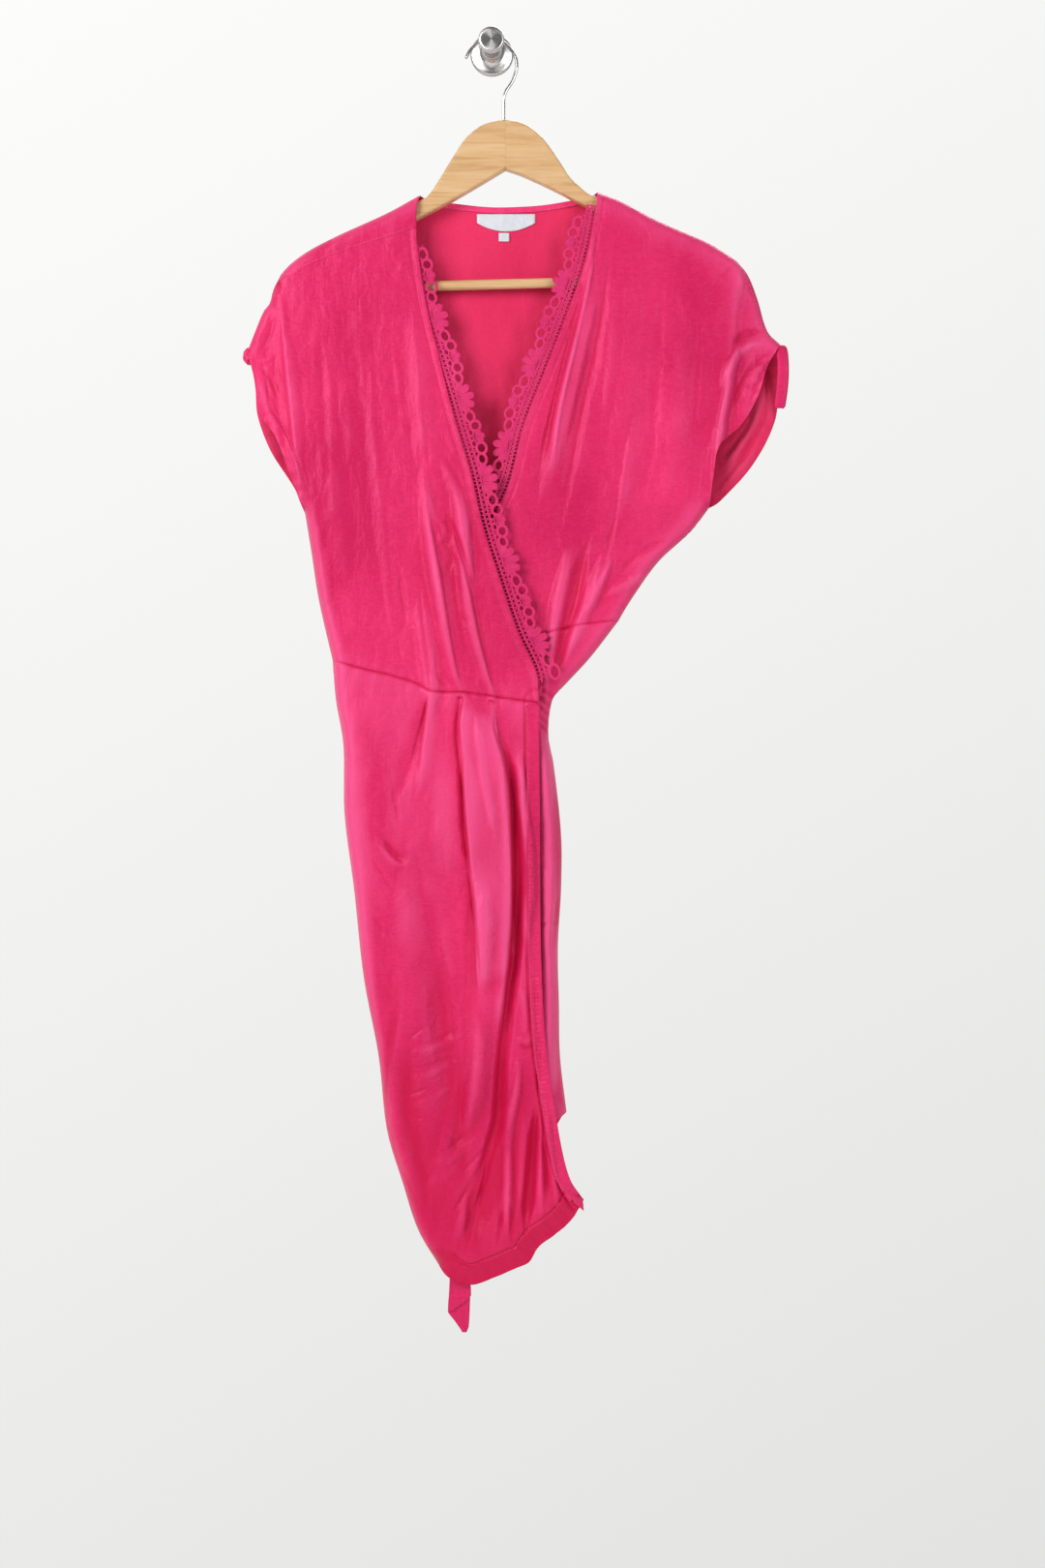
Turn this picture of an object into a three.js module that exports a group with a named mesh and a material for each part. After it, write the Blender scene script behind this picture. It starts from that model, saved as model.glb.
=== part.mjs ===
// A wrap dress on a wooden hanger, hung from a round wall hook. Millimetres, +Z up.
// The origin is the middle of the wall plate's back face, the wall is the plane y = 0
// and the dress hangs in front of it, towards -Y. A depth is a distance off the wall.
import * as THREE from 'three';
import { mergeVertices } from 'three/addons/utils/BufferGeometryUtils.js';

// Driving sizes
const CLOTH = 1.2;
const TRIM = 1.0;
const SEAM_GAP = 0.36;
const SEAM_DEPTH = 25;
const EDGE_ROLL = 10;
// Depths of the middles of the layers: the over front, the belly it gains below the bust, and the others
const OVER_DEPTH = 36;
const OVER_BELLY = 9;
const UNDER_DEPTH = 35.5;
const BACK_DEPTH = 13.5;
const BACK_SINK = 2;
const FRONT_EDGE = SEAM_DEPTH + CLOTH / 2 + SEAM_GAP / 2;
const BACK_EDGE = SEAM_DEPTH - CLOTH / 2 - SEAM_GAP / 2;
const HEM_BAND = 19;
const HEM_STEP = 1.6;
const PLACKET_LIFT = 0.55;
const HEM_RAISED = 0.5;
const LACE_WIDTH = 23;
const LACE_TILE = 28;
const LACE_START_UNDER = 0.045;
const LACE_REACH_OVER = 460;
const LACE_REACH_UNDER = 310;
// One tile of the lace, columns: share of its length and share of its width, round from its sewn edge
const LACE_OUTLINE = [[0, 0], [0.5, 0], [1, 0], [1, 0.4], [1, 0.76], [0.78, 0.95], [0.5, 1], [0.22, 0.95],
  [0, 0.76], [0, 0.4]];
const RING_CENTRE = 0.56;
const RING_RADIUS = 3.6;
const NECK_BINDING = 5.6;
const BINDING_INSET = 0.2;
const BINDING_SHARES = [0.14, 0.86];
const LABEL_THICKNESS = 0.8;
const NECK_LABEL = { left: -14, right: 41, top: -154.6, bottom: -163, sag: 8 };
const SIZE_TAB = { left: 6.5, right: 16.5, top: -172.4, bottom: -180.4, sag: 0 };
const TIE_X = -31;
const TIE_WIDTH = 18;
const TIE_TOP = -562;
const TIE_TAPER = -1186;
const TIE_END = -1209;
const TIE_DEPTH = 27;
const TIE_POINT = 3;
const TIE_POINT_SHIFT = 5;
const TIE_SWAY = 3;
const TIE_SWAY_LENGTH = 90;
const HANGER_THICKNESS = 12;
const HANGER_BEVEL = 2.5;
const HANGER_CLEARANCE = 1.7;
const BAR_RADIUS = 4.6;
// The bar's ends, x and z
const BAR_LEFT = [-183.5, -228];
const BAR_RIGHT = [213.7, -218];
const WIRE_RADIUS = 1.6;

// Colours, roughness and metalness of the materials
const satin = { color: 0xd81f5b, roughness: 0.42, metalness: 0 };
const satinInside = { color: 0xe2406f, roughness: 0.6, metalness: 0 };
const lace = { color: 0xd8205c, roughness: 0.8, metalness: 0 };
const labelCloth = { color: 0xece7e2, roughness: 0.8, metalness: 0 };
const beech = { color: 0xd9bd93, roughness: 0.5, metalness: 0 };
const steel = { color: 0xb9babb, roughness: 0.25, metalness: 1 };

// Outline tables, columns x and z
const RIDGE_LEFT = [[-67, -140], [-98, -157], [-144, -178], [-171, -192], [-189, -205], [-198, -215]];
const OVERARM_LEFT = [[-198, -215], [-205, -229], [-208, -241], [-214, -249], [-222, -268], [-229, -286]];
const SEAM_LEFT = [[-70, -173], [-98, -182], [-129, -192], [-152, -200], [-170, -208], [-186, -216],
  [-197, -220]];
const OVERARM_LEFT_FRONT = [[-197, -220], [-204, -230], [-208, -241], [-214, -249], [-222, -268],
  [-229, -286]];
const RIDGE_RIGHT = [[99, -137], [120, -145], [152, -162], [179, -174], [204, -185], [229, -201]];
const OVERARM_RIGHT = [[229, -201], [240, -214], [249, -236], [259, -268], [271, -280]];
const CUFF_LEFT_FRONT = [[-229, -286], [-221, -318], [-217, -345], [-202, -368], [-191, -395], [-175, -438]];
const CUFF_LEFT_BACK = [[-229, -286], [-223, -320], [-220, -347], [-208, -379], [-186, -414], [-175, -438]];
const CUFF_RIGHT_FRONT = [[271, -280], [258, -302], [250, -328], [234, -356], [213, -376], [207, -406],
  [204, -433]];
const CUFF_RIGHT_BACK = [[271, -280], [270, -317], [267, -350], [247, -390], [216, -425], [204, -433]];
const SIDE_LEFT_BODICE = [[-175, -438], [-169, -475], [-162, -520], [-149, -577]];
const SIDE_LEFT_SKIRT = [[-149, -577], [-146, -614], [-139, -655], [-138, -720], [-129, -791], [-120, -873],
  [-106, -947], [-98, -1017], [-83, -1067], [-69, -1110], [-49, -1144]];
const SIDE_RIGHT_BODICE = [[204, -433], [187, -455], [156, -484], [129, -522], [119, -539]];
const SIDE_RIGHT_SKIRT = [[119, -539], [92, -574], [68, -600], [57, -613], [53, -646], [58, -674], [65, -740],
  [65, -790], [62, -845], [63, -900], [64, -948], [70, -1000]];
const NECK_OVER = [[-70, -173], [-70, -184], [-62, -239], [-49, -294], [-35, -350], [-20, -401], [-8, -453],
  [8, -503], [24, -550], [42, -590], [44, -617]];
const NECK_UNDER = [[99, -137], [97, -160], [87, -207], [69, -259], [50, -308], [31, -357], [17, -411],
  [4, -440]];
const NECK_UNDER_HIDDEN = [[4, -440], [-8, -470], [-24, -530], [-30, -577]];
const NECK_BACK = [[-67, -140], [-39, -144], [-7, -147.5], [15, -148], [52, -145.5], [99, -137]];
const WAIST_OVER = [[-149, -577], [-120, -585], [-91, -592], [-69, -599], [-56, -606], [-25, -607], [3, -611],
  [44, -617]];
const WAIST_UNDER = [[-30, -577], [10, -566], [45, -554], [75, -545], [119, -539]];
const WAIST_BACK = [[-149, -577], [-60, -590], [30, -575], [119, -539]];
const OVERLAP_EDGE = [[44, -617], [45, -717], [46, -850], [50, -928], [58, -988], [66, -1035], [74, -1062],
  [86, -1080]];
const HEM_OVER = [[-49, -1144], [-37, -1154], [-18, -1159], [1, -1153], [22, -1144], [35, -1138], [44, -1124],
  [61, -1111], [75, -1098], [86, -1080]];
const HEM_UNDER = [[-26, -1050], [20, -1032], [70, -1000]];
const HEM_BACK = [[-49, -1144], [-20, -1128], [14, -1090], [44, -1045], [70, -1000]];
const UNDER_SKIRT_HIDDEN = [[-30, -577], [-27, -800], [-26, -1050]];

// The strap of the right cuff, columns: x, z and depth down its middle
const TAB_RIGHT = [[274, -283, 27.8], [274.2, -291, 29.5], [274.2, -306, 30], [273.4, -322, 28.5],
  [271.5, -339, 26]];
const TAB_WIDTH = 9;
const TAB_THICKNESS = 1.6;
const KNOT_RADII = [3.4, 6, 7.5];
const KNOT_CENTRE = [-233.4, -SEAM_DEPTH, -289];

// Folds, columns: height of the crest (a trough is negative), half width, then x and z down the crease
const FOLDS_OVER = [
  [4, 15, [-99, -278], [-91, -332], [-78, -398]],
  [4, 12, [-72, -260], [-63, -322], [-49, -430]],
  [6, 13, [-65, -392], [-55, -460], [-41, -547], [-28, -606], [-25, -625]],
  [5, 12, [-54, -374], [-29, -430], [-19, -529], [1, -606], [6, -640]],
  [4, 12, [-66, -511], [-61, -560], [-55, -610], [-58, -640]],
  [-4, 13, [-130, -250], [-124, -330], [-112, -420], [-100, -520]],
  [3, 16, [-150, -300], [-146, -400], [-134, -500], [-128, -560]],
  [-5, 16, [-58, -606], [-66, -640], [-80, -680], [-96, -690]],
  [-6, 11, [-27, -612], [-29, -650], [-24, -736], [-20, -826], [-18, -870]],
  [7, 15, [-14, -640], [-14, -760], [-9, -877], [-13, -980], [-32, -1030], [-48, -1060]],
  [-8, 11, [3, -615], [14, -697], [18, -773], [11, -911], [3, -1014], [-8, -1050]],
  [5, 12, [27, -640], [31, -712], [36, -790], [32, -880], [26, -980], [20, -1060]],
  [-4, 18, [-60, -800], [-44, -900], [-34, -980], [-22, -1080]],
  [4, 20, [-78, -740], [-76, -850], [-66, -960], [-56, -1080]],
  [-3, 12, [-106, -738], [-86, -764], [-72, -756]],
  [3, 12, [-92, -950], [-60, -936], [-30, -914]],
  [-5, 10, [40, -950], [42, -1000], [46, -1060]],
];
const FOLDS_UNDER = [
  [4, 12, [98, -197], [87, -265], [68, -343], [52, -409], [40, -450]],
  [-3, 10, [110, -190], [101, -265], [84, -343], [70, -420], [60, -470]],
  [5, 18, [137, -197], [131, -290], [119, -390], [96, -480]],
  [-4, 14, [160, -210], [155, -300], [146, -400], [128, -470]],
  [5, 18, [182, -225], [178, -300], [170, -380], [152, -450]],
  [6, 10, [66, -495], [62, -521], [57, -556], [53, -590], [47, -617]],
  [-7, 11, [86, -480], [78, -520], [70, -550], [60, -590], [54, -622]],
  [6, 10, [104, -490], [92, -522], [82, -543], [68, -575], [58, -597]],
  [3, 8, [46, -660], [54, -740], [56, -850], [54, -960]],
];
const FOLDS_BACK = [
  [4, 20, [-120, -230], [-116, -350], [-100, -480], [-92, -600], [-96, -760]],
  [-4, 18, [-84, -230], [-78, -350], [-60, -480], [-52, -600], [-58, -780], [-50, -960]],
  [4, 18, [-40, -240], [-34, -380], [-20, -520], [-16, -620], [-22, -800], [-26, -980]],
  [-4, 16, [0, -260], [8, -400], [18, -520], [14, -640], [10, -820], [-2, -1000]],
  [4, 18, [60, -250], [62, -360], [58, -470], [40, -590], [36, -700], [38, -860], [26, -1000]],
  [-4, 18, [108, -240], [112, -340], [104, -440], [80, -530], [50, -620]],
  [4, 18, [158, -240], [156, -320], [146, -400], [120, -480], [84, -560]],
];

// Where the cloth leaves the hanger's ends: beyond these lines the sleeves fall back
const SLEEVE_LINE_LEFT = [[-196, -236], [-191, -293], [-186, -338], [-180, -390], [-174, -440]];
const SLEEVE_LINE_RIGHT = [[231, -214], [224, -250], [218, -305], [213, -345], [207, -405], [204, -433]];
const SLEEVE_DROP = 4;

// Curves

function mix(a, b, share) {
  return a + (b - a) * share;
}

function smooth(low, high, value) {
  const share = Math.min(1, Math.max(0, (value - low) / (high - low)));
  return share * share * (3 - 2 * share);
}

// A smooth curve through the rows of a table, as a function of the share of its length
function curve(rows) {
  const reach = [0];
  for (let i = 1; i < rows.length; i += 1) {
    reach.push(reach[i - 1] + Math.hypot(rows[i][0] - rows[i - 1][0], rows[i][1] - rows[i - 1][1]));
  }
  const slopes = rows.map((row, i) => {
    const before = Math.max(0, i - 1);
    const after = Math.min(rows.length - 1, i + 1);
    return [0, 1].map((axis) => (rows[after][axis] - rows[before][axis]) / (reach[after] - reach[before]));
  });
  return (share) => {
    const place = share * reach[reach.length - 1];
    let i = 0;
    while (i < rows.length - 2 && place > reach[i + 1]) {
      i += 1;
    }
    const step = reach[i + 1] - reach[i];
    const t = (place - reach[i]) / step;
    const rise = t * t * (3 - 2 * t);
    const leave = t * (1 - t) * (1 - t) * step;
    const arrive = t * t * (t - 1) * step;
    return [0, 1].map((axis) => mix(rows[i][axis], rows[i + 1][axis], rise)
      + slopes[i][axis] * leave + slopes[i + 1][axis] * arrive);
  };
}

// Curves end to end, each taking its own share; the corners between them fall on the given shares
function joined(...stretches) {
  return (share) => {
    let start = 0;
    for (const [end, rows] of stretches) {
      if (share <= end || end === 1) {
        return curve(rows)((share - start) / (end - start));
      }
      start = end;
    }
    return null;
  };
}

function reversed(rows) {
  return [...rows].reverse();
}

// The nearest place on a polyline: how far off it is, on which side, and how far along
function nearest(rows, x, z) {
  let best = { distance: Infinity, side: 0, along: 0, length: 0 };
  let passed = 0;
  for (let i = 0; i < rows.length - 1; i += 1) {
    const [ax, az] = rows[i];
    const dx = rows[i + 1][0] - ax;
    const dz = rows[i + 1][1] - az;
    const length = Math.hypot(dx, dz);
    const t = Math.min(1, Math.max(0, ((x - ax) * dx + (z - az) * dz) / (length * length)));
    const distance = Math.hypot(x - ax - t * dx, z - az - t * dz);
    if (distance < best.distance) {
      const side = Math.sign((x - ax) * dz - (z - az) * dx);
      best = { distance, side, along: passed + t * length };
    }
    passed += length;
  }
  best.length = passed;
  return best;
}

function sampled(rows, count) {
  const at = curve(rows);
  return Array.from({ length: count + 1 }, (unused, i) => at(i / count));
}

// The seamed outline, where front and back meet
const SEAMED_OUTLINE = [
  [...sampled(RIDGE_LEFT, 24), ...sampled(OVERARM_LEFT, 16).slice(1)],
  [...sampled(SIDE_LEFT_BODICE, 12), ...sampled(SIDE_LEFT_SKIRT, 50).slice(1)],
  [...sampled(RIDGE_RIGHT, 24), ...sampled(OVERARM_RIGHT, 16).slice(1)],
  [...sampled(SIDE_RIGHT_BODICE, 12), ...sampled(SIDE_RIGHT_SKIRT, 50).slice(1)],
];

function outlineRise(x, z) {
  const distance = Math.min(...SEAMED_OUTLINE.map((rows) => nearest(rows, x, z).distance));
  const inside = 1 - Math.min(1, distance / EDGE_ROLL);
  return Math.sqrt(Math.max(0, 1 - inside * inside));
}

// The height that a table of folds adds at a place
function foldHeight(folds, x, z) {
  let height = 0;
  for (const [crest, halfWidth, ...line] of folds) {
    const { distance, along, length } = nearest(line, x, z);
    if (distance < halfWidth) {
      const fade = smooth(0, 0.3 * length, along) * smooth(0, 0.3 * length, length - along);
      const profile = (1 - (distance / halfWidth) ** 2) ** 2;
      height += crest * profile * fade;
    }
  }
  return height;
}

function sleeveDrop(x, z) {
  const left = nearest(SLEEVE_LINE_LEFT, x, z);
  const right = nearest(SLEEVE_LINE_RIGHT, x, z);
  const pastLeft = left.side > 0 ? left.distance : 0;
  const pastRight = right.side < 0 ? right.distance : 0;
  return SLEEVE_DROP * smooth(0, 14, Math.max(x < 0 ? pastLeft : 0, x > 0 ? pastRight : 0));
}

// Depths of the layers

function depthOver(x, z) {
  const belly = OVER_BELLY * smooth(-260, -440, z);
  const body = OVER_DEPTH + belly + foldHeight(FOLDS_OVER, x, z) - sleeveDrop(x, z);
  return mix(FRONT_EDGE, body, outlineRise(x, z));
}

// The under front lies flat where the over front hides it: left of a slanting line, and below the V
function depthUnder(x, z) {
  const hidden = smooth(4, -30, x - 0.25 * (z + 617)) * smooth(-420, -450, z);
  const body = UNDER_DEPTH + foldHeight(FOLDS_UNDER, x, z) * (1 - hidden) - sleeveDrop(x, z);
  return mix(FRONT_EDGE, body, outlineRise(x, z));
}

function depthBack(x, z) {
  const body = BACK_DEPTH - BACK_SINK * smooth(-240, -420, z) + foldHeight(FOLDS_BACK, x, z);
  return mix(BACK_EDGE, body, outlineRise(x, z));
}

// Grids

// Even steps from a start up to, but without, an end
function steps(start, end, count) {
  return Array.from({ length: count }, (unused, i) => mix(start, end, i / count));
}

// Shares from 0 to 1, closer together near an edge that rolls over
function spread(count, length, rollsAtStart, rollsAtEnd) {
  const near = [1.6, 5, 11].map((distance) => distance / length);
  const first = rollsAtStart ? near[2] : 0;
  const last = rollsAtEnd ? 1 - near[2] : 1;
  const middle = Array.from({ length: count + 1 }, (unused, i) => mix(first, last, i / count));
  const start = rollsAtStart ? [0, near[0], near[1]] : [];
  const end = rollsAtEnd ? [1 - near[1], 1 - near[0], 1] : [];
  return [...start, ...middle, ...end];
}

// A panel's points: a patch between four curves in the x and z plane, set at its depth
function patch({ top, bottom, left, right, columns, rows, depth }) {
  const corner = { topLeft: top(0), topRight: top(1), bottomLeft: bottom(0), bottomRight: bottom(1) };
  return rows.map((v) => columns.map((u) => {
    const [x, z] = [0, 1].map((axis) => mix(top(u)[axis], bottom(u)[axis], v)
      + mix(left(v)[axis], right(v)[axis], u)
      - mix(mix(corner.topLeft[axis], corner.topRight[axis], u),
        mix(corner.bottomLeft[axis], corner.bottomRight[axis], u), v));
    return new THREE.Vector3(x, -depth(x, z), z);
  }));
}

function shiftRow(row, amount) {
  for (const point of row) {
    point.z += amount;
  }
}

// The outward normal at each point of a grid; level rows keep theirs in the horizontal plane
function gridNormals(grid, levelRows = []) {
  const lastRow = grid.length - 1;
  const lastColumn = grid[0].length - 1;
  return grid.map((row, r) => row.map((point, c) => {
    const [before, after] = [row[Math.max(0, c - 1)], row[Math.min(lastColumn, c + 1)]];
    const [above, below] = [grid[Math.max(0, r - 1)][c], grid[Math.min(lastRow, r + 1)][c]];
    const across = new THREE.Vector3().subVectors(after, before);
    const down = new THREE.Vector3().subVectors(below, above);
    const straight = levelRows.includes(r) ? new THREE.Vector3(0, 0, -1) : down;
    return new THREE.Vector3().crossVectors(straight, across).normalize();
  }));
}

// A closed solid from triangles given as points
function solid(triangles) {
  const geometry = new THREE.BufferGeometry();
  const positions = new Float32Array(triangles.length * 9);
  triangles.forEach((triangle, i) => triangle.forEach((point, j) => point.toArray(positions, i * 9 + j * 3)));
  geometry.setAttribute('position', new THREE.BufferAttribute(positions, 3));
  const merged = mergeVertices(geometry, 1e-4);
  merged.computeVertexNormals();
  return merged;
}

function quad(triangles, a, b, c, d) {
  triangles.push([a, b, c], [a, c, d]);
}

// A wall between two distances from a grid of points, along its normals, closed round its edges;
// thicker gives what a row adds to the outer distance
function wall(grid, options = {}) {
  const { normals = gridNormals(grid), inner = -CLOTH / 2, outer = CLOTH / 2, thicker = () => 0 } = options;
  const offset = (distance) => grid.map((row, r) => row.map((point, c) => point.clone()
    .addScaledVector(normals[r][c], distance(r))));
  const front = offset((r) => outer + thicker(r));
  const back = offset(() => inner);
  const triangles = [];
  const lastRow = grid.length - 1;
  const lastColumn = grid[0].length - 1;
  for (let r = 0; r < lastRow; r += 1) {
    for (let c = 0; c < lastColumn; c += 1) {
      quad(triangles, front[r][c], front[r + 1][c], front[r + 1][c + 1], front[r][c + 1]);
      quad(triangles, back[r][c], back[r][c + 1], back[r + 1][c + 1], back[r + 1][c]);
    }
    quad(triangles, front[r][0], back[r][0], back[r + 1][0], front[r + 1][0]);
    const last = lastColumn;
    quad(triangles, back[r][last], front[r][last], front[r + 1][last], back[r + 1][last]);
  }
  for (let c = 0; c < lastColumn; c += 1) {
    quad(triangles, back[0][c], front[0][c], front[0][c + 1], back[0][c + 1]);
    quad(triangles, front[lastRow][c], back[lastRow][c], back[lastRow][c + 1], front[lastRow][c + 1]);
  }
  return solid(triangles);
}

// The dress

const dress = new THREE.Group();

function add(name, geometry, look, inside = dress) {
  const mesh = new THREE.Mesh(geometry, new THREE.MeshStandardMaterial(look));
  mesh.name = name;
  inside.add(mesh);
}

const waistColumnsOver = spread(16, 200, true, false);
const waistColumnsUnder = spread(13, 150, false, true);

// Columns of the back: its top edge turns its corners at these shares, with one column close beside
// each neck point
const BACK_CORNERS = [0.12, 0.36, 0.64, 0.88];
const BESIDE_NECK = 0.012;
const waistColumnsBack = [
  ...[0, 0.005, 0.017, 0.04, 0.08],
  ...steps(BACK_CORNERS[0], BACK_CORNERS[1], 6),
  ...[BACK_CORNERS[1], ...steps(BACK_CORNERS[1] + BESIDE_NECK, BACK_CORNERS[2] - BESIDE_NECK, 4)],
  ...[BACK_CORNERS[2] - BESIDE_NECK, ...steps(BACK_CORNERS[2], BACK_CORNERS[3], 6)],
  ...[BACK_CORNERS[3], 0.92, 0.96, 0.983, 0.995, 1],
];

function lastOf(list) {
  return list[list.length - 1];
}

// The panels of the bodice; the lengths and widths given to spread are theirs along and across, and the
// shares given to joined are where an armhole or a shoulder ends and the next stretch of the edge starts
function bodiceOver() {
  const grid = patch({
    top: joined([0.25, reversed(OVERARM_LEFT_FRONT)], [1, reversed(SEAM_LEFT)]),
    bottom: curve(WAIST_OVER),
    left: joined([0.52, CUFF_LEFT_FRONT], [1, SIDE_LEFT_BODICE]),
    right: curve(NECK_OVER),
    columns: waistColumnsOver,
    rows: spread(15, 450, true, false),
    depth: depthOver,
  });
  shiftRow(grid[0], -SEAM_GAP / 2);
  shiftRow(lastOf(grid), SEAM_GAP / 2);
  return wall(grid, { normals: gridNormals(grid, [grid.length - 1]) });
}

// The stretch of the back that rolls over the hanger, down to the seam that lies in front
function bodiceBackShoulderLeft() {
  const grid = patch({
    top: curve(reversed(RIDGE_LEFT)),
    bottom: curve(reversed(SEAM_LEFT)),
    left: curve([lastOf(RIDGE_LEFT), lastOf(SEAM_LEFT)]),
    right: curve([RIDGE_LEFT[0], [-70, -156], SEAM_LEFT[0]]),
    columns: spread(13, 150, false, false),
    rows: [0, 0.05, 0.16, 0.34, 0.64, 1],
    depth: depthOver,
  });
  shiftRow(lastOf(grid), SEAM_GAP);
  return wall(grid);
}

function bodiceUnder() {
  const grid = patch({
    top: joined([0.75, RIDGE_RIGHT], [1, OVERARM_RIGHT]),
    bottom: curve(WAIST_UNDER),
    left: joined([0.7, NECK_UNDER], [1, NECK_UNDER_HIDDEN]),
    right: joined([0.5, CUFF_RIGHT_FRONT], [1, SIDE_RIGHT_BODICE]),
    columns: waistColumnsUnder,
    rows: spread(15, 400, true, false),
    depth: depthUnder,
  });
  shiftRow(lastOf(grid), SEAM_GAP / 2);
  return wall(grid, { normals: gridNormals(grid, [grid.length - 1]) });
}

function bodiceBack() {
  const grid = patch({
    top: joined([BACK_CORNERS[0], reversed(OVERARM_LEFT)], [BACK_CORNERS[1], reversed(RIDGE_LEFT)],
      [BACK_CORNERS[2], NECK_BACK], [BACK_CORNERS[3], RIDGE_RIGHT], [1, OVERARM_RIGHT]),
    bottom: curve(WAIST_BACK),
    left: joined([0.52, CUFF_LEFT_BACK], [1, SIDE_LEFT_BODICE]),
    right: joined([0.5, CUFF_RIGHT_BACK], [1, SIDE_RIGHT_BODICE]),
    columns: waistColumnsBack,
    rows: spread(14, 420, true, false),
    depth: depthBack,
  });
  shiftRow(lastOf(grid), SEAM_GAP / 2);
  return wall(grid, { normals: gridNormals(grid, [grid.length - 1]) });
}

// Rows of a skirt: even, then one just above and one on the line of the turned hem
function skirtRows(count, length) {
  const hemLine = 1 - HEM_BAND / length;
  const aboveHem = hemLine - HEM_STEP / length;
  const even = spread(count, length, false, false).map((v) => v * (aboveHem - 1 / count));
  return [...even, aboveHem, hemLine, 1];
}

function skirt({ columns, count, length, depth, turnedHem, ...edges }) {
  const grid = patch({ ...edges, columns, rows: skirtRows(count, length), depth });
  shiftRow(grid[0], -SEAM_GAP / 2);
  const normals = gridNormals(grid, [0]);
  const thicker = (r) => (r >= grid.length - 2 ? turnedHem : 0);
  return { grid, normals, geometry: wall(grid, { normals, thicker }) };
}

const skirtOver = skirt({
  top: curve(WAIST_OVER),
  bottom: curve(HEM_OVER),
  left: curve(SIDE_LEFT_SKIRT),
  right: curve(OVERLAP_EDGE),
  columns: waistColumnsOver,
  count: 15,
  length: 540,
  depth: depthOver,
  turnedHem: HEM_RAISED,
});

const skirtUnder = skirt({
  top: curve(WAIST_UNDER),
  bottom: curve(HEM_UNDER),
  left: curve(UNDER_SKIRT_HIDDEN),
  right: curve(SIDE_RIGHT_SKIRT),
  columns: waistColumnsUnder,
  count: 15,
  length: 470,
  depth: depthUnder,
  turnedHem: HEM_RAISED,
});

const skirtBack = skirt({
  top: curve(WAIST_BACK),
  bottom: curve(HEM_BACK),
  left: curve(SIDE_LEFT_SKIRT),
  right: curve(SIDE_RIGHT_SKIRT),
  columns: waistColumnsBack,
  count: 15,
  length: 550,
  depth: depthBack,
  turnedHem: 0,
});

// The band stitched down the free edge of the over skirt, made from the skirt's own last columns
function placket() {
  const columns = (grid) => grid.slice(0, -1).map((row) => row.slice(-2));
  return wall(columns(skirtOver.grid), {
    normals: columns(skirtOver.normals),
    inner: CLOTH / 2 + PLACKET_LIFT,
    outer: CLOTH / 2 + PLACKET_LIFT + TRIM,
  });
}

// The binding along the inside of the back neck
function neckBindingBack() {
  const edge = curve(NECK_BACK);
  const behind = CLOTH / 2 + SEAM_GAP + TRIM / 2;
  const drops = [BINDING_INSET, NECK_BINDING / 2, NECK_BINDING];
  const grid = drops.map((drop) => spread(12, 1, false, false).map((u) => {
    const [x, z] = edge(mix(BINDING_SHARES[0], BINDING_SHARES[1], u));
    return new THREE.Vector3(x, -depthBack(x, z - drop) - behind, z - drop);
  }));
  return wall(grid, { inner: -TRIM / 2, outer: TRIM / 2 });
}

// A small cloth rectangle sewn to the inside of the back, with a sagging lower edge
function innerTab({ left, right, top, bottom, sag }) {
  const behind = CLOTH / 2 + SEAM_GAP + LABEL_THICKNESS / 2;
  const grid = [0, 0.5, 1].map((v) => spread(6, 1, false, false).map((u) => {
    const x = mix(left, right, u);
    const z = mix(top, bottom - sag * 4 * u * (1 - u), v);
    return new THREE.Vector3(x, -depthBack(x, z) - behind, z);
  }));
  return wall(grid, { inner: -LABEL_THICKNESS / 2, outer: LABEL_THICKNESS / 2 });
}

// A lace trim: tiles along an edge, each with a scalloped free side and one open ring
function laceTrim(edge, reach, inward, depth) {
  const tiles = Math.round(reach / LACE_TILE);
  const outline = LACE_OUTLINE;
  const place = (share, across) => {
    const [x, z] = edge(share);
    const [x2, z2] = edge(Math.min(1, share + 0.01));
    const [x1, z1] = edge(Math.max(0, share - 0.01));
    const length = Math.hypot(x2 - x1, z2 - z1);
    const offset = inward * (across + SEAM_GAP) / length;
    return new THREE.Vector3(x - (z2 - z1) * offset, -depth(x, z), z + (x2 - x1) * offset);
  };
  const triangles = [];
  for (let tile = 0; tile < tiles; tile += 1) {
    const point = ([a, b]) => place((tile + a) / tiles, b * LACE_WIDTH);
    const outer = outline.map(point);
    const inner = outline.map(([a, b]) => {
      const across = (a - 0.5) * LACE_TILE;
      const up = (b - RING_CENTRE) * LACE_WIDTH;
      const scale = RING_RADIUS / Math.hypot(across, up);
      return point([0.5 + across * scale / LACE_TILE, RING_CENTRE + up * scale / LACE_WIDTH]);
    });
    const raise = (p, side) => p.clone().add(new THREE.Vector3(0, -side * TRIM / 2, 0));
    outline.forEach((unused, i) => {
      const next = (i + 1) % outline.length;
      const front = [outer[i], outer[next], inner[next], inner[i]].map((p) => raise(p, 1));
      const back = [outer[i], outer[next], inner[next], inner[i]].map((p) => raise(p, -1));
      quad(triangles, front[0], front[1], front[2], front[3]);
      quad(triangles, back[0], back[3], back[2], back[1]);
      quad(triangles, front[3], front[2], back[2], back[3]);
      const between = (i === 2 || i === 3) ? tile < tiles - 1 : (i === 8 || i === 9) && tile > 0;
      if (!between) {
        quad(triangles, front[1], front[0], back[0], back[1]);
      }
    });
  }
  return solid(inward < 0 ? triangles.map(([a, b, c]) => [a, c, b]) : triangles);
}

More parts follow.
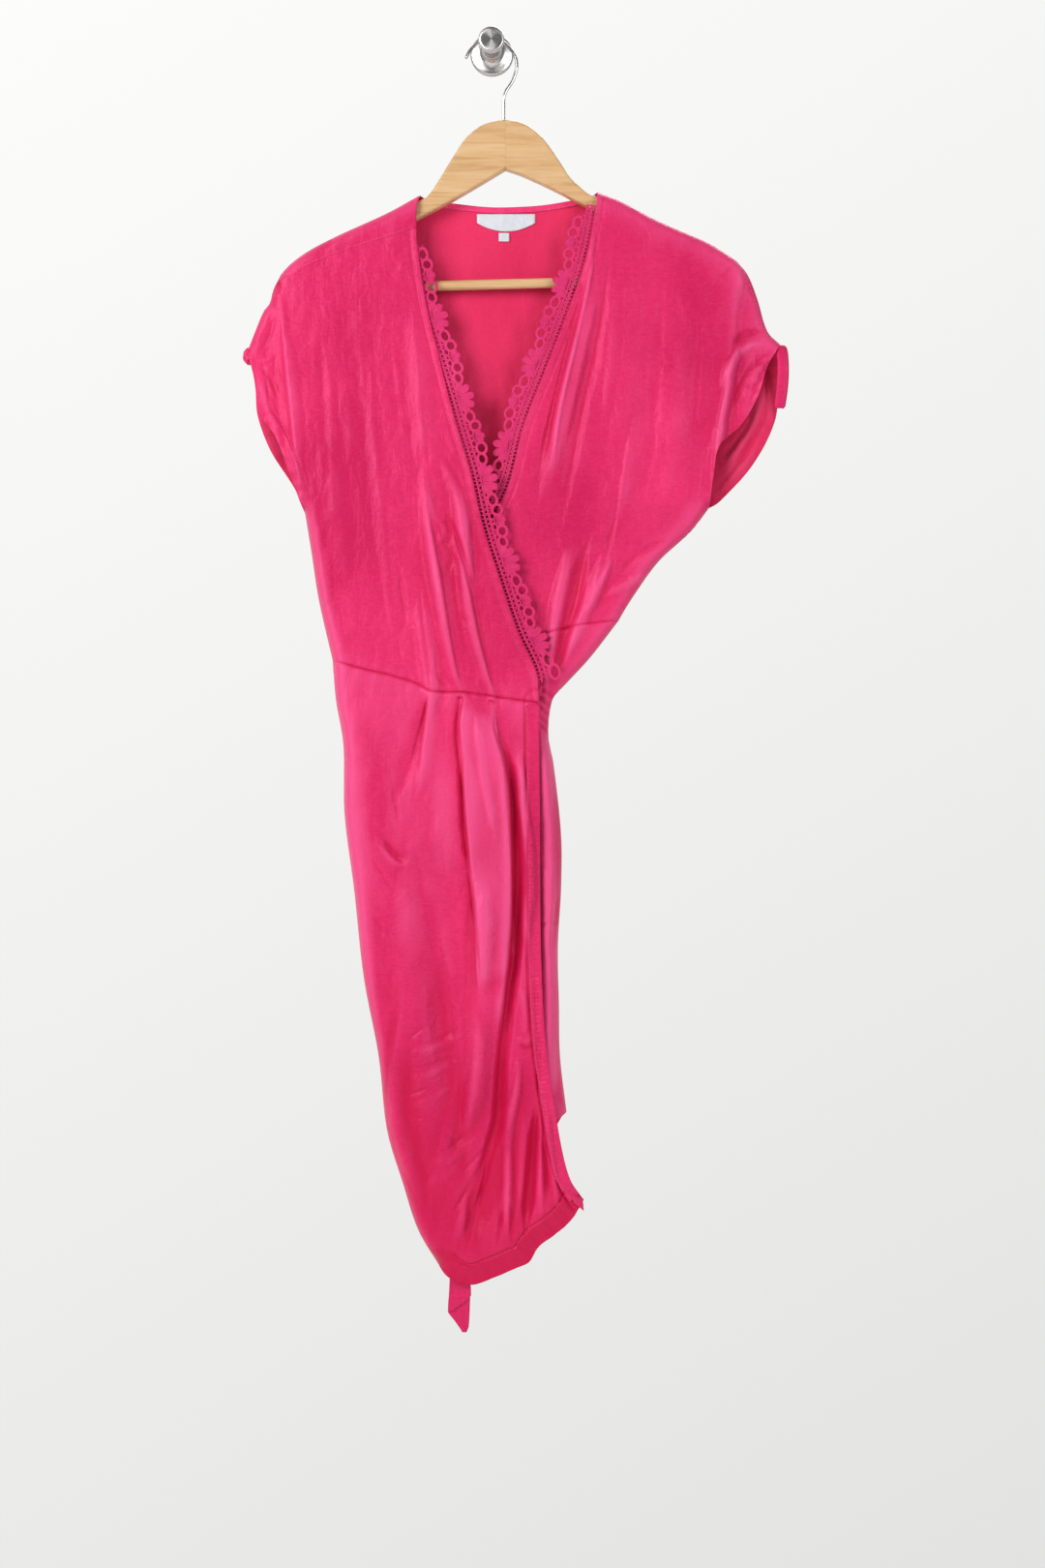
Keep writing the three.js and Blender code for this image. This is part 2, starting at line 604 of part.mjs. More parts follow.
// The inner tie: sewn behind the under front's hidden corner, it hangs down inside the skirt
function tie() {
  const drops = [...steps(TIE_TOP, TIE_TAPER, 16), TIE_TAPER, mix(TIE_TAPER, TIE_END, 0.5), TIE_END];
  const sewnDepth = depthUnder(TIE_X + 2, TIE_TOP) - CLOTH - SEAM_GAP;
  const grid = drops.map((z) => {
    const taper = Math.max(0, (z - TIE_TAPER) / (TIE_END - TIE_TAPER));
    const half = mix(TIE_WIDTH / 2, TIE_POINT / 2, taper);
    const sway = TIE_SWAY * Math.sin(z / TIE_SWAY_LENGTH) * smooth(-600, -700, z);
    const middle = TIE_X + TIE_POINT_SHIFT * taper + sway;
    const depth = mix(sewnDepth, TIE_DEPTH, smooth(-590, -650, z));
    const hollow = (side) => (side === 0 ? 1 : 0);
    return [-1, 0, 1].map((side) => new THREE.Vector3(middle + side * half, -depth + hollow(side), z));
  });
  return wall(grid);
}

// The strap that gathers the right sleeve's hem at the overarm seam
function cuffTabRight() {
  const grid = TAB_RIGHT.map(([x, z, depth]) => [-1, 0, 1].map((side) => new THREE.Vector3(
    x + side * TAB_WIDTH / 2,
    -depth - (side === 0 ? 1 : 0),
    z,
  )));
  return wall(grid, { inner: -TAB_THICKNESS / 2, outer: TAB_THICKNESS / 2 });
}

function cuffTabLeft() {
  const knot = new THREE.SphereGeometry(1, 12, 8);
  knot.scale(...KNOT_RADII);
  knot.translate(...KNOT_CENTRE);
  return knot;
}

add('bodice_over', bodiceOver(), satin);
add('bodice_back_shoulder_left', bodiceBackShoulderLeft(), satin);
add('bodice_under', bodiceUnder(), satin);
add('bodice_back', bodiceBack(), satinInside);
add('skirt_over', skirtOver.geometry, satin);
add('skirt_under', skirtUnder.geometry, satin);
add('skirt_back', skirtBack.geometry, satinInside);
add('placket_over', placket(), satin);
add('neck_binding_back', neckBindingBack(), satin);
add('neck_label', innerTab(NECK_LABEL), labelCloth);
add('size_tab', innerTab(SIZE_TAB), labelCloth);

// Each lace is sewn behind its front's neck edge
const behindFront = CLOTH / 2 + SEAM_GAP + TRIM / 2;
const laceEdgeUnder = (share) => curve(NECK_UNDER)(mix(LACE_START_UNDER, 1, share));
add('lace_over', laceTrim(curve(NECK_OVER), LACE_REACH_OVER, 1,
  (x, z) => depthOver(x, z) - behindFront), lace);
add('lace_under', laceTrim(laceEdgeUnder, LACE_REACH_UNDER, -1,
  (x, z) => depthUnder(x, z) - behindFront), lace);
add('tie_inner', tie(), satin);
add('cuff_tab_left', cuffTabLeft(), satin);
add('cuff_tab_right', cuffTabRight(), satin);

// The hanger

// A side view, columns x and z, made into a board with rounded edges in the middle of the hanger's depth
function board(outline) {
  const shape = new THREE.Shape(outline.map(([x, z]) => new THREE.Vector2(x, z)));
  const geometry = new THREE.ExtrudeGeometry(shape, {
    depth: HANGER_THICKNESS - 2 * HANGER_BEVEL,
    bevelSize: HANGER_BEVEL,
    bevelOffset: -HANGER_BEVEL,
    bevelThickness: HANGER_BEVEL,
    bevelSegments: 3,
  });
  geometry.translate(0, 0, SEAM_DEPTH - HANGER_THICKNESS / 2 + HANGER_BEVEL);
  geometry.rotateX(Math.PI / 2);
  return geometry;
}

function underRidge(ridge, until) {
  return sampled(ridge, 20).filter(([x]) => Math.abs(x) < until).slice(1)
    .map(([x, z]) => [x, z - CLOTH / 2 - HANGER_CLEARANCE]);
}

// The arms, down the ridge from their joint in the middle and back along their undersides
const armLeft = [[12.85, -70], [4, -71], [-10, -75.5], [-25, -88], [-37, -106], [-48, -124], [-55, -135],
  [-61, -142.4], [-66, -143], ...underRidge(RIDGE_LEFT, 180), [-186, -208], [-191, -215], [-192, -228],
  [-190, -235], [-185, -235], [-184, -222], [-160, -210], [-120, -189], [-70, -163], [-36, -145],
  [0, -124], [12.85, -116]];
const armRight = [[13.15, -70], [22, -71], [34, -75.5], [49, -88], [62, -106], [74, -124], [84, -133.4],
  [92, -139.6], [98, -140], ...underRidge(RIDGE_RIGHT, 221), [223, -202], [224, -216], [222, -225],
  [215, -225], [214.4, -212], [190, -198], [150, -178], [90, -151.5], [60, -136], [30, -122], [13.15, -116]];
add('hanger_arm_left', board(armLeft), beech);
add('hanger_arm_right', board(armRight), beech);

// The trouser bar runs between the ends of the arms
const barLeft = new THREE.Vector3(BAR_LEFT[0], -SEAM_DEPTH, BAR_LEFT[1]);
const barRight = new THREE.Vector3(BAR_RIGHT[0], -SEAM_DEPTH, BAR_RIGHT[1]);
const barGeometry = new THREE.CylinderGeometry(BAR_RADIUS, BAR_RADIUS, barLeft.distanceTo(barRight), 16);
barGeometry.rotateZ(Math.PI / 2);
barGeometry.rotateY(-Math.atan2(barRight.z - barLeft.z, barRight.x - barLeft.x));
barGeometry.translate(...barLeft.clone().lerp(barRight, 0.5).toArray());
add('hanger_bar', barGeometry, beech);

// The hanger's wire hook, columns x and z, from its foot to its tip
const WIRE = [[11.3, -69.6], [11.3, -58], [11.6, -48], [14, -41], [19, -33.5], [22.6, -24.4], [23.6, -16],
  [21.6, -8], [16.5, -1], [9.5, 5], [0, 8], [-8, 6.6], [-14.5, 2.2], [-20.5, -4], [-24.5, -11.6]];
const wireSection = new THREE.Shape();
wireSection.absarc(0, 0, WIRE_RADIUS, 0, 2 * Math.PI);
add('hanger_hook', new THREE.ExtrudeGeometry(wireSection, {
  steps: 42,
  curveSegments: 4,
  bevelEnabled: false,
  extrudePath: new THREE.CatmullRomCurve3(WIRE.map(([x, z]) => new THREE.Vector3(x, -SEAM_DEPTH, z))),
}), steel);

// The wall hook is turned about Y: columns radius and depth, from the knob's face back to the wall
const HOOK_PROFILE = [[0, 47.6], [10.8, 47.2], [12.2, 45.6], [12.3, 42.5], [10.6, 40], [7.2, 36], [6, 31],
  [6, 19], [7.2, 12], [10, 7.4], [17, 4.6], [20, 3.2], [20.6, 1.6], [20.2, 0], [0, 0]];
const hookProfile = HOOK_PROFILE.map(([radius, depth]) => new THREE.Vector2(radius, -depth));
add('wall_hook', new THREE.LatheGeometry(hookProfile, 24), steel);

export default dress;
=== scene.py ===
# A wrap dress on a wooden hanger, hung from a round wall hook.
# The shapes are worked out in millimetres and made in metres. A depth is a distance off the wall plane,
# towards -Y. Left and right are the viewer's.
import math

import bpy
import numpy as np
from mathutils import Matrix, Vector


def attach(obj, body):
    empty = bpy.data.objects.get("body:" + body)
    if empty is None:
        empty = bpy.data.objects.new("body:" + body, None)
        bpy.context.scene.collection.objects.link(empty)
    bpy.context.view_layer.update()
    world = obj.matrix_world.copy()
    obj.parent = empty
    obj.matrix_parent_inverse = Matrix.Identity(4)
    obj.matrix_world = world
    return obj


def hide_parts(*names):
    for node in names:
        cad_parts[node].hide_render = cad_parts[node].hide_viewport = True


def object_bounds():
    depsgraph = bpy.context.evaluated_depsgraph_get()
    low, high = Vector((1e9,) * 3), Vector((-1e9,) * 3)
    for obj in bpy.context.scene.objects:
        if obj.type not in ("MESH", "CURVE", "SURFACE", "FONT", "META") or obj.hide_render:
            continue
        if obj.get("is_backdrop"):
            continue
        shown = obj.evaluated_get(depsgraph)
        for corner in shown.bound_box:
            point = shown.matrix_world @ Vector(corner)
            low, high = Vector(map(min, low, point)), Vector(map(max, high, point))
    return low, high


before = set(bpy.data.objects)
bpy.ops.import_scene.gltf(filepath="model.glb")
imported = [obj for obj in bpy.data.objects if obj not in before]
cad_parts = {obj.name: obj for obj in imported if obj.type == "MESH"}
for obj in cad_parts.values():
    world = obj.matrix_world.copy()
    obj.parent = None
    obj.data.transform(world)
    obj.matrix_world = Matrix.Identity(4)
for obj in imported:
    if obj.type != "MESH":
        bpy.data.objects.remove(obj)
cad_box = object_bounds()

# Driving sizes
CLOTH = 0.7
SEAM_DEPTH = 25
OVER_DEPTH = 36
OVER_BELLY = 9
UNDER_DEPTH = 35.5
BACK_DEPTH = 13.5
BACK_SINK = 2
EDGE_ROLL = 10
FRONT_EDGE = SEAM_DEPTH + 0.05
BACK_EDGE = SEAM_DEPTH - 0.05
HEM_BAND = 19
NECK_BAND = 5.6
CUFF_BAND = 11
PLACKET_WIDTH = 11.7
PLACKET_LENGTH = 480
PUCKER_PITCH = 4.2
LACE_WIDTH = 24
LACE_REPEAT = 80
HANGER_THICKNESS = 12
HANGER_BEVEL = 2.5
HANGER_MIDDLE = 13
WIRE_RADIUS = 1.6
STITCH_LENGTH = 2.3
STITCH_PITCH = 3.1
STITCH_WIDTH = 0.42
TIE_X = -31
TIE_WIDTH = 18
TIE_TOP = -562
TIE_FOLD = -1172
SLEEVE_DROP = 4
# Share of the small unevenness, slack before a panel rolls over, height that counts as a full hollow or
# crest for the painted shade and highlight in the colour, and how much painted shade darkens the rolled edges
CRUMPLE = 0.75
OUTLINE_SLACK = 0.15
RELIEF_HEIGHT = 4.0
EDGE_PAINTED_SHADE = 0.9
OFF_THE_WALL = (0, -1, 0)

# Outline tables, columns x and z
RIDGE_LEFT = [[-67, -140], [-98, -157], [-144, -178], [-171, -192], [-189, -205], [-198, -215]]
OVERARM_LEFT = [[-198, -215], [-205, -229], [-208, -241], [-214, -249], [-222, -268], [-229, -286]]
SEAM_LEFT = [[-70, -173], [-98, -182], [-129, -192], [-152, -200], [-170, -208], [-187, -216],
             [-200.6, -220.2]]
OVERARM_LEFT_FRONT = [[-200.6, -220.2], [-205, -229], [-208, -241], [-214, -249], [-222, -268], [-229, -286]]
RIDGE_RIGHT = [[99, -137], [120, -145], [152, -162], [179, -174], [204, -185], [229, -201]]
OVERARM_RIGHT = [[229, -201], [240, -214], [249, -236], [259, -268], [271, -280]]
CUFF_LEFT_FRONT = [[-229, -286], [-221, -318], [-217, -345], [-202, -368], [-191, -395], [-175, -438]]
CUFF_LEFT_BACK = [[-229, -286], [-223, -320], [-220, -347], [-208, -379], [-186, -414], [-175, -438]]
CUFF_RIGHT_FRONT = [[271, -280], [258, -302], [250, -328], [234, -356], [213, -376], [207, -406], [204, -433]]
CUFF_RIGHT_BACK = [[271, -280], [270, -317], [267, -350], [247, -390], [216, -425], [204, -433]]
SIDE_LEFT_BODICE = [[-175, -438], [-169, -475], [-162, -520], [-149, -577]]
SIDE_LEFT_SKIRT = [[-149, -577], [-146, -614], [-139, -655], [-138, -720], [-129, -791], [-120, -873],
                   [-106, -947], [-98, -1017], [-83, -1067], [-69, -1110], [-49, -1144]]
SIDE_RIGHT_BODICE = [[204, -433], [187, -455], [156, -484], [129, -522], [119, -539]]
SIDE_RIGHT_SKIRT = [[119, -539], [92, -574], [68, -600], [57, -613], [53, -646], [58, -674], [65, -740],
                    [65, -790], [62, -845], [63, -900], [64, -948], [70, -1000]]
NECK_OVER = [[-70, -173], [-70, -184], [-62, -239], [-49, -294], [-35, -350], [-20, -401], [-8, -453],
             [8, -503], [24, -550], [42, -590], [44, -617]]
NECK_UNDER = [[99, -137], [97, -160], [87, -207], [69, -259], [50, -308], [31, -357], [17, -411], [4, -440]]
NECK_UNDER_HIDDEN = [[4, -440], [-8, -470], [-24, -530], [-30, -577]]
NECK_BACK = [[-67, -140], [-39, -144], [-7, -147.5], [15, -148], [52, -145.5], [99, -137]]
WAIST_OVER = [[-149, -577], [-120, -585], [-91, -592], [-69, -599], [-56, -606], [-25, -607], [3, -611],
              [44, -617]]
WAIST_UNDER = [[-30, -577], [10, -566], [45, -554], [75, -545], [119, -539]]
WAIST_BACK = [[-149, -577], [-60, -590], [30, -575], [119, -539]]
OVERLAP_EDGE = [[44, -617], [45, -717], [46, -850], [50, -928], [58, -988], [66, -1035], [74, -1062],
                [86, -1080]]
HEM_OVER = [[-49, -1144], [-37, -1154], [-18, -1159], [1, -1153], [22, -1144], [35, -1138], [44, -1124],
            [61, -1111], [75, -1098], [86, -1080]]
HEM_UNDER = [[-26, -1050], [20, -1032], [70, -1000]]
HEM_BACK = [[-49, -1144], [-20, -1128], [14, -1090], [44, -1045], [70, -1000]]
UNDER_SKIRT_HIDDEN = [[-30, -577], [-27, -800], [-26, -1050]]
BACK_CORNERS = [0.12, 0.36, 0.64, 0.88]

# Folds, columns: height of the crest (a trough is negative), width to its left and to its right,
# share of its length over which each end fades, then x and z down the crease
FOLDS_OVER = [
    [1.5, 15, 13, 0.45, [-101, -240], [-92, -332], [-76, -430]],
    [-1.2, 12, 6, 0.45, [-89, -232], [-95, -284], [-89, -342], [-80, -430]],
    [1.8, 13, 11, 0.45, [-75, -225], [-64, -322], [-48, -440]],
    [1.1, 13, 5, 0.45, [-74, -216], [-69, -320], [-62, -390], [-50, -460]],
    [6, 13, 10, 0.3, [-65, -392], [-55, -460], [-41, -547], [-28, -606], [-25, -625]],
    [-3.2, 3, 6, 0.2, [-60, -423], [-47, -494], [-38, -550], [-27, -606], [-26, -614]],
    [5, 12, 9, 0.3, [-54, -374], [-29, -430], [-19, -529], [1, -606], [6, -640]],
    [-3.2, 3, 6, 0.2, [-40, -440], [-24, -491], [-9, -560], [4, -610], [6, -618]],
    [4, 12, 12, 0.3, [-66, -511], [-61, -560], [-55, -610], [-58, -640]],
    [-2, 3, 4, 0.25, [-67, -508], [-62, -560], [-57, -600], [-57, -610]],
    [-1.6, 3, 6, 0.3, [-86, -488], [-84, -515], [-79, -546]],
    [-1.2, 14, 10, 0.45, [-132, -235], [-124, -330], [-112, -420], [-98, -540]],
    [1.1, 16, 12, 0.45, [-154, -260], [-147, -400], [-134, -500], [-126, -572]],
    [-0.9, 8, 6, 0.45, [-161, -250], [-156, -340], [-150, -440]],
    [0.8, 9, 6, 0.45, [-113, -270], [-108, -400], [-97, -500], [-88, -580]],
    [-1.8, 4, 4, 0.3, [-46, -435], [-37, -460], [-47, -476]],
    [1.8, 4, 4, 0.3, [-50, -444], [-44, -458], [-54, -474]],
    [-1.4, 3, 3, 0.3, [-42, -470], [-36, -484], [-44, -496]],
    [-1.2, 3, 3, 0.3, [-52, -588], [-44, -600], [-38, -608]],
    [-1.2, 3, 3, 0.3, [-20, -592], [-14, -602], [-9, -609]],
    [-1.0, 3, 3, 0.3, [-40, -592], [-33, -602], [-29, -608]],
    [2.4, 5, 12, 0.35, [-197, -240], [-191, -300], [-186, -342], [-181, -389], [-176, -428]],
    [1.4, 5, 6, 0.4, [-224, -284], [-214, -264], [-207, -244], [-201, -230]],
    [-1.3, 3, 5, 0.4, [-222, -291], [-210, -278], [-201, -252]],
    [1.2, 4, 5, 0.4, [-222, -296], [-209, -296], [-199, -284]],
    [-1.2, 3, 5, 0.4, [-220, -301], [-208, -312], [-199, -336]],
    [1.5, 5, 7, 0.4, [-219, -306], [-210, -334], [-200, -364], [-188, -398]],
    [-3, 16, 10, 0.4, [-58, -604], [-64, -628], [-72, -660], [-80, -688], [-92, -714]],
    [2.6, 3, 14, 0.3, [-57, -600], [-61, -640], [-68, -684], [-80, -714]],
    [7, 1.6, 36, 0.1, [-25, -605], [-28, -614], [-30, -640], [-29, -662], [-26, -690], [-24, -730],
     [-20, -772], [-16, -806], [-13, -850], [-12, -890]],
    [-3.6, 9, 1.5, 0.1, [-25, -605], [-30, -640], [-29, -662], [-26, -690], [-24, -730], [-20, -772]],
    [5.6, 14, 14, 0.25, [-12, -760], [-8, -800], [-9.5, -880], [-10.6, -946], [-14, -976], [-24, -1008],
     [-44, -1036]],
    [6.4, 30, 1.8, 0.12, [4, -608], [3, -626], [6, -650], [12, -670], [16, -690], [17, -715], [18, -810],
     [17, -840], [12, -882], [8, -930]],
    [-7.4, 7, 10, 0.12, [10, -640], [18, -690], [22, -740], [24, -790], [21, -850], [14, -905],
     [9, -950], [5, -1003], [-2, -1030], [-11, -1060], [-20, -1090], [-24, -1132]],
    [5, 10, 6, 0.3, [26, -650], [31, -712], [36, -745], [38, -790], [34, -829], [38, -868]],
    [2.2, 5, 7, 0.3, [-15, -620], [-6, -692], [6, -752]],
    [-3.4, 2.6, 2.2, 0.12, [-30, -620], [-30, -634], [-27, -669], [-26, -700], [-20, -770],
     [-14.6, -819], [-9.7, -881]],
    [-3.4, 2.2, 3, 0.12, [3, -615], [3, -640], [10.6, -667], [17.6, -700], [19.6, -751], [19.6, -817],
     [15, -870]],
    [-2.8, 2.2, 3, 0.2, [-59, -608], [-62.4, -626], [-70, -653.5], [-76, -677]],
    [-1.8, 3, 5, 0.35, [-64, -655], [-70, -690], [-76, -716]],
    [-4, 18, 14, 0.4, [-60, -780], [-44, -900], [-34, -980], [-20, -1100]],
    [2.4, 12, 6, 0.4, [-30, -960], [-36, -1010], [-50, -1050], [-60, -1084]],
    [3, 8, 4, 0.4, [-2, -1030], [-12, -1068], [-30, -1110], [-38, -1136]],
    [-2, 3, 4, 0.35, [-10, -1040], [-22, -1068], [-40, -1096]],
    [4, 20, 20, 0.3, [-78, -740], [-76, -850], [-66, -960], [-56, -1080]],
    [4.4, 7, 16, 0.3, [-80, -880], [-89, -944], [-89, -1003], [-78, -1047], [-62, -1090]],
    [-1.5, 7, 10, 0.4, [-108, -732], [-97, -751], [-86, -761], [-70, -752]],
    [1.5, 3, 5, 0.35, [-108, -743], [-99, -757], [-88, -767], [-76, -768]],
    [-1.6, 4, 5, 0.4, [-112, -812], [-106, -822], [-100, -838]],
    [-2.6, 2, 4, 0.35, [-105, -737], [-97, -750], [-88, -760], [-81, -763], [-74, -757]],
    [-1.5, 2, 4, 0.4, [-113, -760], [-98, -784], [-82, -804]],
    [-1.4, 3, 5, 0.3, [-92, -690], [-90, -712], [-86, -730]],
    [-1.7, 1.9, 2.6, 0.4, [-78, -930], [-70, -924], [-61, -917]],
    [-1.3, 1.8, 3.4, 0.45, [-67, -937], [-48, -930], [-34, -922], [-21, -912]],
    [-1.6, 1.9, 3.4, 0.45, [-82, -955], [-66, -955], [-48, -951], [-31, -944]],
    [-1.7, 1.9, 2.8, 0.4, [-84, -982], [-70, -979], [-52, -970]],
    [-1.1, 1.8, 3, 0.4, [-80, -1003], [-62, -1002], [-46, -994]],
    [-1.6, 1.9, 3.4, 0.4, [-51, -1036], [-38, -1030], [-28, -1022], [-18, -1011]],
    [-1.8, 1.9, 3.4, 0.4, [-30, -1058], [-19, -1046], [-10, -1036], [0, -1025]],
    [-1.1, 1.8, 2.8, 0.4, [-44, -1053], [-35, -1045], [-28, -1038]],
    [1.5, 5, 6, 0.45, [-85, -944], [-60, -940], [-36, -931], [-18, -919]],
    [1.4, 5, 6, 0.45, [-86, -968], [-62, -964], [-40, -956], [-22, -944]],
    [1.2, 6, 7, 0.45, [-82, -992], [-58, -988], [-34, -972]],
    [1.4, 6, 7, 0.45, [-66, -1044], [-44, -1043], [-22, -1030], [-8, -1016]],
    [1.6, 10, 8, 0.45, [-74, -1076], [-46, -1056], [-16, -1012]],
    [-5, 5, 18, 0.4, [-2, -1036], [-7, -1064], [-15, -1100], [-22, -1126]],
    [5, 8, 7, 0.25, [27, -937], [24, -977], [19, -1000], [15.5, -1030], [15, -1068], [14, -1120]],
    [-1.8, 3, 3, 0.25, [18, -1078], [19, -1100], [18, -1122]],
    [-1.8, 3, 3, 0.25, [11, -1084], [8, -1104], [5, -1124]],
    [-7, 8, 8, 0.3, [42, -985], [38, -1046], [32, -1104], [30, -1118]],
    [2, 4, 5, 0.35, [31, -990], [28, -1046], [24, -1104]],
    [4, 5, 5, 0.3, [50, -980], [55, -1030], [60, -1070], [62, -1094]],
    [-2.6, 4, 4, 0.3, [46, -1010], [50, -1050], [52, -1084]],
    [-2.4, 3, 4, 0.3, [24, -934], [32, -938], [41, -936]],
    [1.6, 4, 4, 0.3, [23, -928], [32, -931], [40, -930]],
    [-2.6, 3.5, 3.5, 0.25, [40, -860], [42, -900], [44, -940], [43, -990]],
    [2.4, 5, 5, 0.3, [29, -880], [31, -905], [32, -930]],
    [-1.2, 3, 3, 0.3, [58, -1058], [68, -1074], [74, -1086]],
    [3, 8, 3, 0.35, [45, -990], [46, -1040], [47, -1080], [48, -1104]],
    [-3.4, 1.8, 1.8, 0.2, [-32, -611], [-28.5, -612.5], [-25, -612.5]],
    [-3.2, 1.8, 1.8, 0.2, [-3, -615], [1, -616], [4, -616]],
]
# Painted shade and highlight on the over skirt's colour, columns as for the folds: painted shade is positive
# and a painted highlight negative
PAINTED_LIGHT_OVER = [
    [0.4, 22, 26, 0.4, [-86, -890], [-84, -960], [-70, -1040], [-52, -1100]],
    [-0.3, 16, 16, 0.4, [-62, -900], [-52, -960], [-44, -1010]],
    [0.3, 14, 18, 0.4, [-110, -640], [-106, -720], [-98, -800]],
    [-0.3, 12, 12, 0.4, [-128, -640], [-124, -720], [-112, -820]],
    [0.6, 5, 24, 0.3, [14, -985], [5, -1020], [-4, -1062], [-12, -1100], [-20, -1140]],
    [0.5, 10, 10, 0.3, [37, -1010], [34, -1070], [30, -1114]],
    [0.45, 8, 12, 0.3, [19, -680], [24, -780], [21, -860], [14, -930]],
    [-0.5, 18, 15, 0.3, [-10, -626], [-6, -700], [-2, -780], [0, -850]],
    [-0.3, 16, 16, 0.35, [-46, -630], [-46, -720], [-44, -800]],
    [-0.5, 4, 4, 0.3, [17, -1010], [15, -1070], [14, -1120]],
    [-0.35, 12, 10, 0.4, [-18, -880], [-14, -950], [-22, -1000]],
]
FOLDS_UNDER = [
    [3.4, 10, 12, 0.4, [100, -176], [87, -265], [68, -343], [52, -409], [38, -460]],
    [3.4, 8, 3, 0.25, [97, -165], [92, -219], [79, -278], [63, -349], [56, -413]],
    [-2.4, 10, 8, 0.4, [112, -176], [101, -265], [84, -343], [70, -420], [58, -484]],
    [-2.4, 3, 6, 0.25, [88, -222], [68, -296], [52, -360], [41, -414]],
    [1.3, 18, 14, 0.45, [139, -180], [131, -290], [119, -390], [94, -490]],
    [-1.1, 13, 8, 0.45, [162, -200], [155, -300], [146, -400], [126, -480]],
    [1.2, 18, 12, 0.45, [184, -215], [178, -300], [170, -380], [150, -462]],
    [-0.8, 7, 5, 0.45, [196, -240], [192, -320], [186, -400]],
    [0.8, 6, 9, 0.45, [118, -200], [112, -300], [98, -400]],
    [1.8, 5, 10, 0.4, [138, -330], [125, -404], [116, -462]],
    [-2.2, 6, 3, 0.4, [119, -432], [108, -478], [96, -522]],
    [2.4, 5, 8, 0.3, [116, -474], [102, -506], [86, -538]],
    [2, 6, 6, 0.3, [152, -494], [128, -505], [104, -520]],
    [-1.8, 5, 6, 0.3, [168, -462], [140, -476], [114, -500]],
    [4.5, 9, 10, 0.35, [74, -460], [68, -495], [62, -521], [57, -556], [53, -590], [47, -617]],
    [-5, 11, 9, 0.35, [94, -450], [86, -480], [78, -520], [70, -550], [60, -590], [54, -622]],
    [4.6, 10, 10, 0.35, [116, -456], [104, -490], [92, -522], [82, -543], [68, -575], [58, -597]],
    [6.5, 13, 12, 0.12, [48, -630], [52, -740], [54, -850], [53, -960], [58, -1000]],
    [-2.2, 4, 4, 0.3, [62, -790], [58, -830], [54, -860]],
    [-1.8, 2.2, 2.2, 0.2, [44, -823], [56, -822], [66, -822]],
    [-2.8, 2, 3, 0.2, [45, -603], [52, -607], [60, -613]],
    [-3, 2, 3, 0.2, [43, -610], [50, -616], [58, -623]],
    [-3, 2, 3, 0.2, [43, -618], [49, -624], [57, -632]],
    [-2.8, 2, 3, 0.2, [43, -627], [49, -633], [56, -641]],
    [-2.6, 2, 3, 0.2, [44, -636], [49, -641], [55, -648]],
    [4.2, 4, 9, 0.3, [242, -262], [228, -290], [219, -330], [213, -362], [208, -400], [205, -428]],
    [-4, 4, 6, 0.3, [268, -284], [246, -300], [232, -324], [226, -346]],
    [3.4, 5, 6, 0.3, [264, -278], [242, -282], [222, -302], [214, -330]],
    [-3, 3, 5, 0.3, [256, -268], [238, -270], [224, -284]],
    [-3, 3, 4, 0.3, [266, -288], [252, -310], [240, -338]],
    [-1, 3, 4, 0.3, [228, -206], [216, -216], [204, -232]],
]
FOLDS_BACK = [
    [4, 20, 20, 0.3, [-120, -230], [-116, -350], [-100, -480], [-92, -600], [-96, -760]],
    [-4, 18, 18, 0.3, [-84, -230], [-78, -350], [-60, -480], [-52, -600], [-58, -780], [-50, -960]],
    [4, 18, 18, 0.3, [-40, -240], [-34, -380], [-20, -520], [-16, -620], [-22, -800], [-26, -980]],
    [-4, 16, 16, 0.3, [0, -260], [8, -400], [18, -520], [14, -640], [10, -820], [-2, -1000]],
    [4, 18, 18, 0.3, [60, -250], [62, -360], [58, -470], [40, -590], [36, -700], [38, -860], [26, -1000]],
    [-4, 18, 18, 0.3, [108, -240], [112, -340], [104, -440], [80, -530], [50, -620]],
    [4, 18, 18, 0.3, [158, -240], [156, -320], [146, -400], [120, -480], [84, -560]],
    [2, 6, 9, 0.3, [-150, -260], [-146, -380], [-136, -500]],
    [-1.6, 5, 8, 0.3, [-64, -300], [-52, -420], [-40, -540]],
    [1.6, 8, 5, 0.3, [30, -300], [36, -420], [30, -540]],
    [-1.8, 5, 7, 0.3, [-80, -640], [-84, -760], [-70, -880]],
    [1.8, 7, 5, 0.3, [0, -660], [-6, -780], [-14, -900]],
    [-1.6, 4, 6, 0.3, [186, -260], [180, -330], [168, -400]],
    [8, 30, 16, 0.3, [262, -300], [256, -345], [238, -385], [212, -418]],
    [-4, 5, 7, 0.3, [264, -318], [254, -352], [238, -380], [222, -404]],
    [3, 6, 5, 0.3, [256, -322], [244, -356], [226, -384], [214, -398]],
    [-3, 4, 5, 0.3, [250, -336], [238, -362], [216, -386]],
    [-2.4, 3, 4, 0.35, [264, -338], [257, -362], [244, -384]],
    [6, 12, 22, 0.3, [-224, -312], [-216, -352], [-196, -398]],
    [-2.5, 4, 8, 0.4, [-98, -950], [-60, -975], [-20, -985]],
    [2.2, 8, 5, 0.4, [-88, -1010], [-50, -1040], [-10, -1044]],
    [-3, 5, 9, 0.4, [14, -890], [2, -960], [-18, -1044]],
    [2, 6, 8, 0.4, [-122, -860], [-90, -882], [-50, -868]],
    [-1.8, 3, 6, 0.4, [-70, -1060], [-44, -1076], [-18, -1070]],
]
SLEEVE_LINE_LEFT = [[-196, -236], [-191, -293], [-186, -338], [-180, -390], [-174, -440]]
SLEEVE_LINE_RIGHT = [[231, -214], [224, -250], [218, -305], [213, -345], [207, -405], [204, -433]]


# Curves and fields

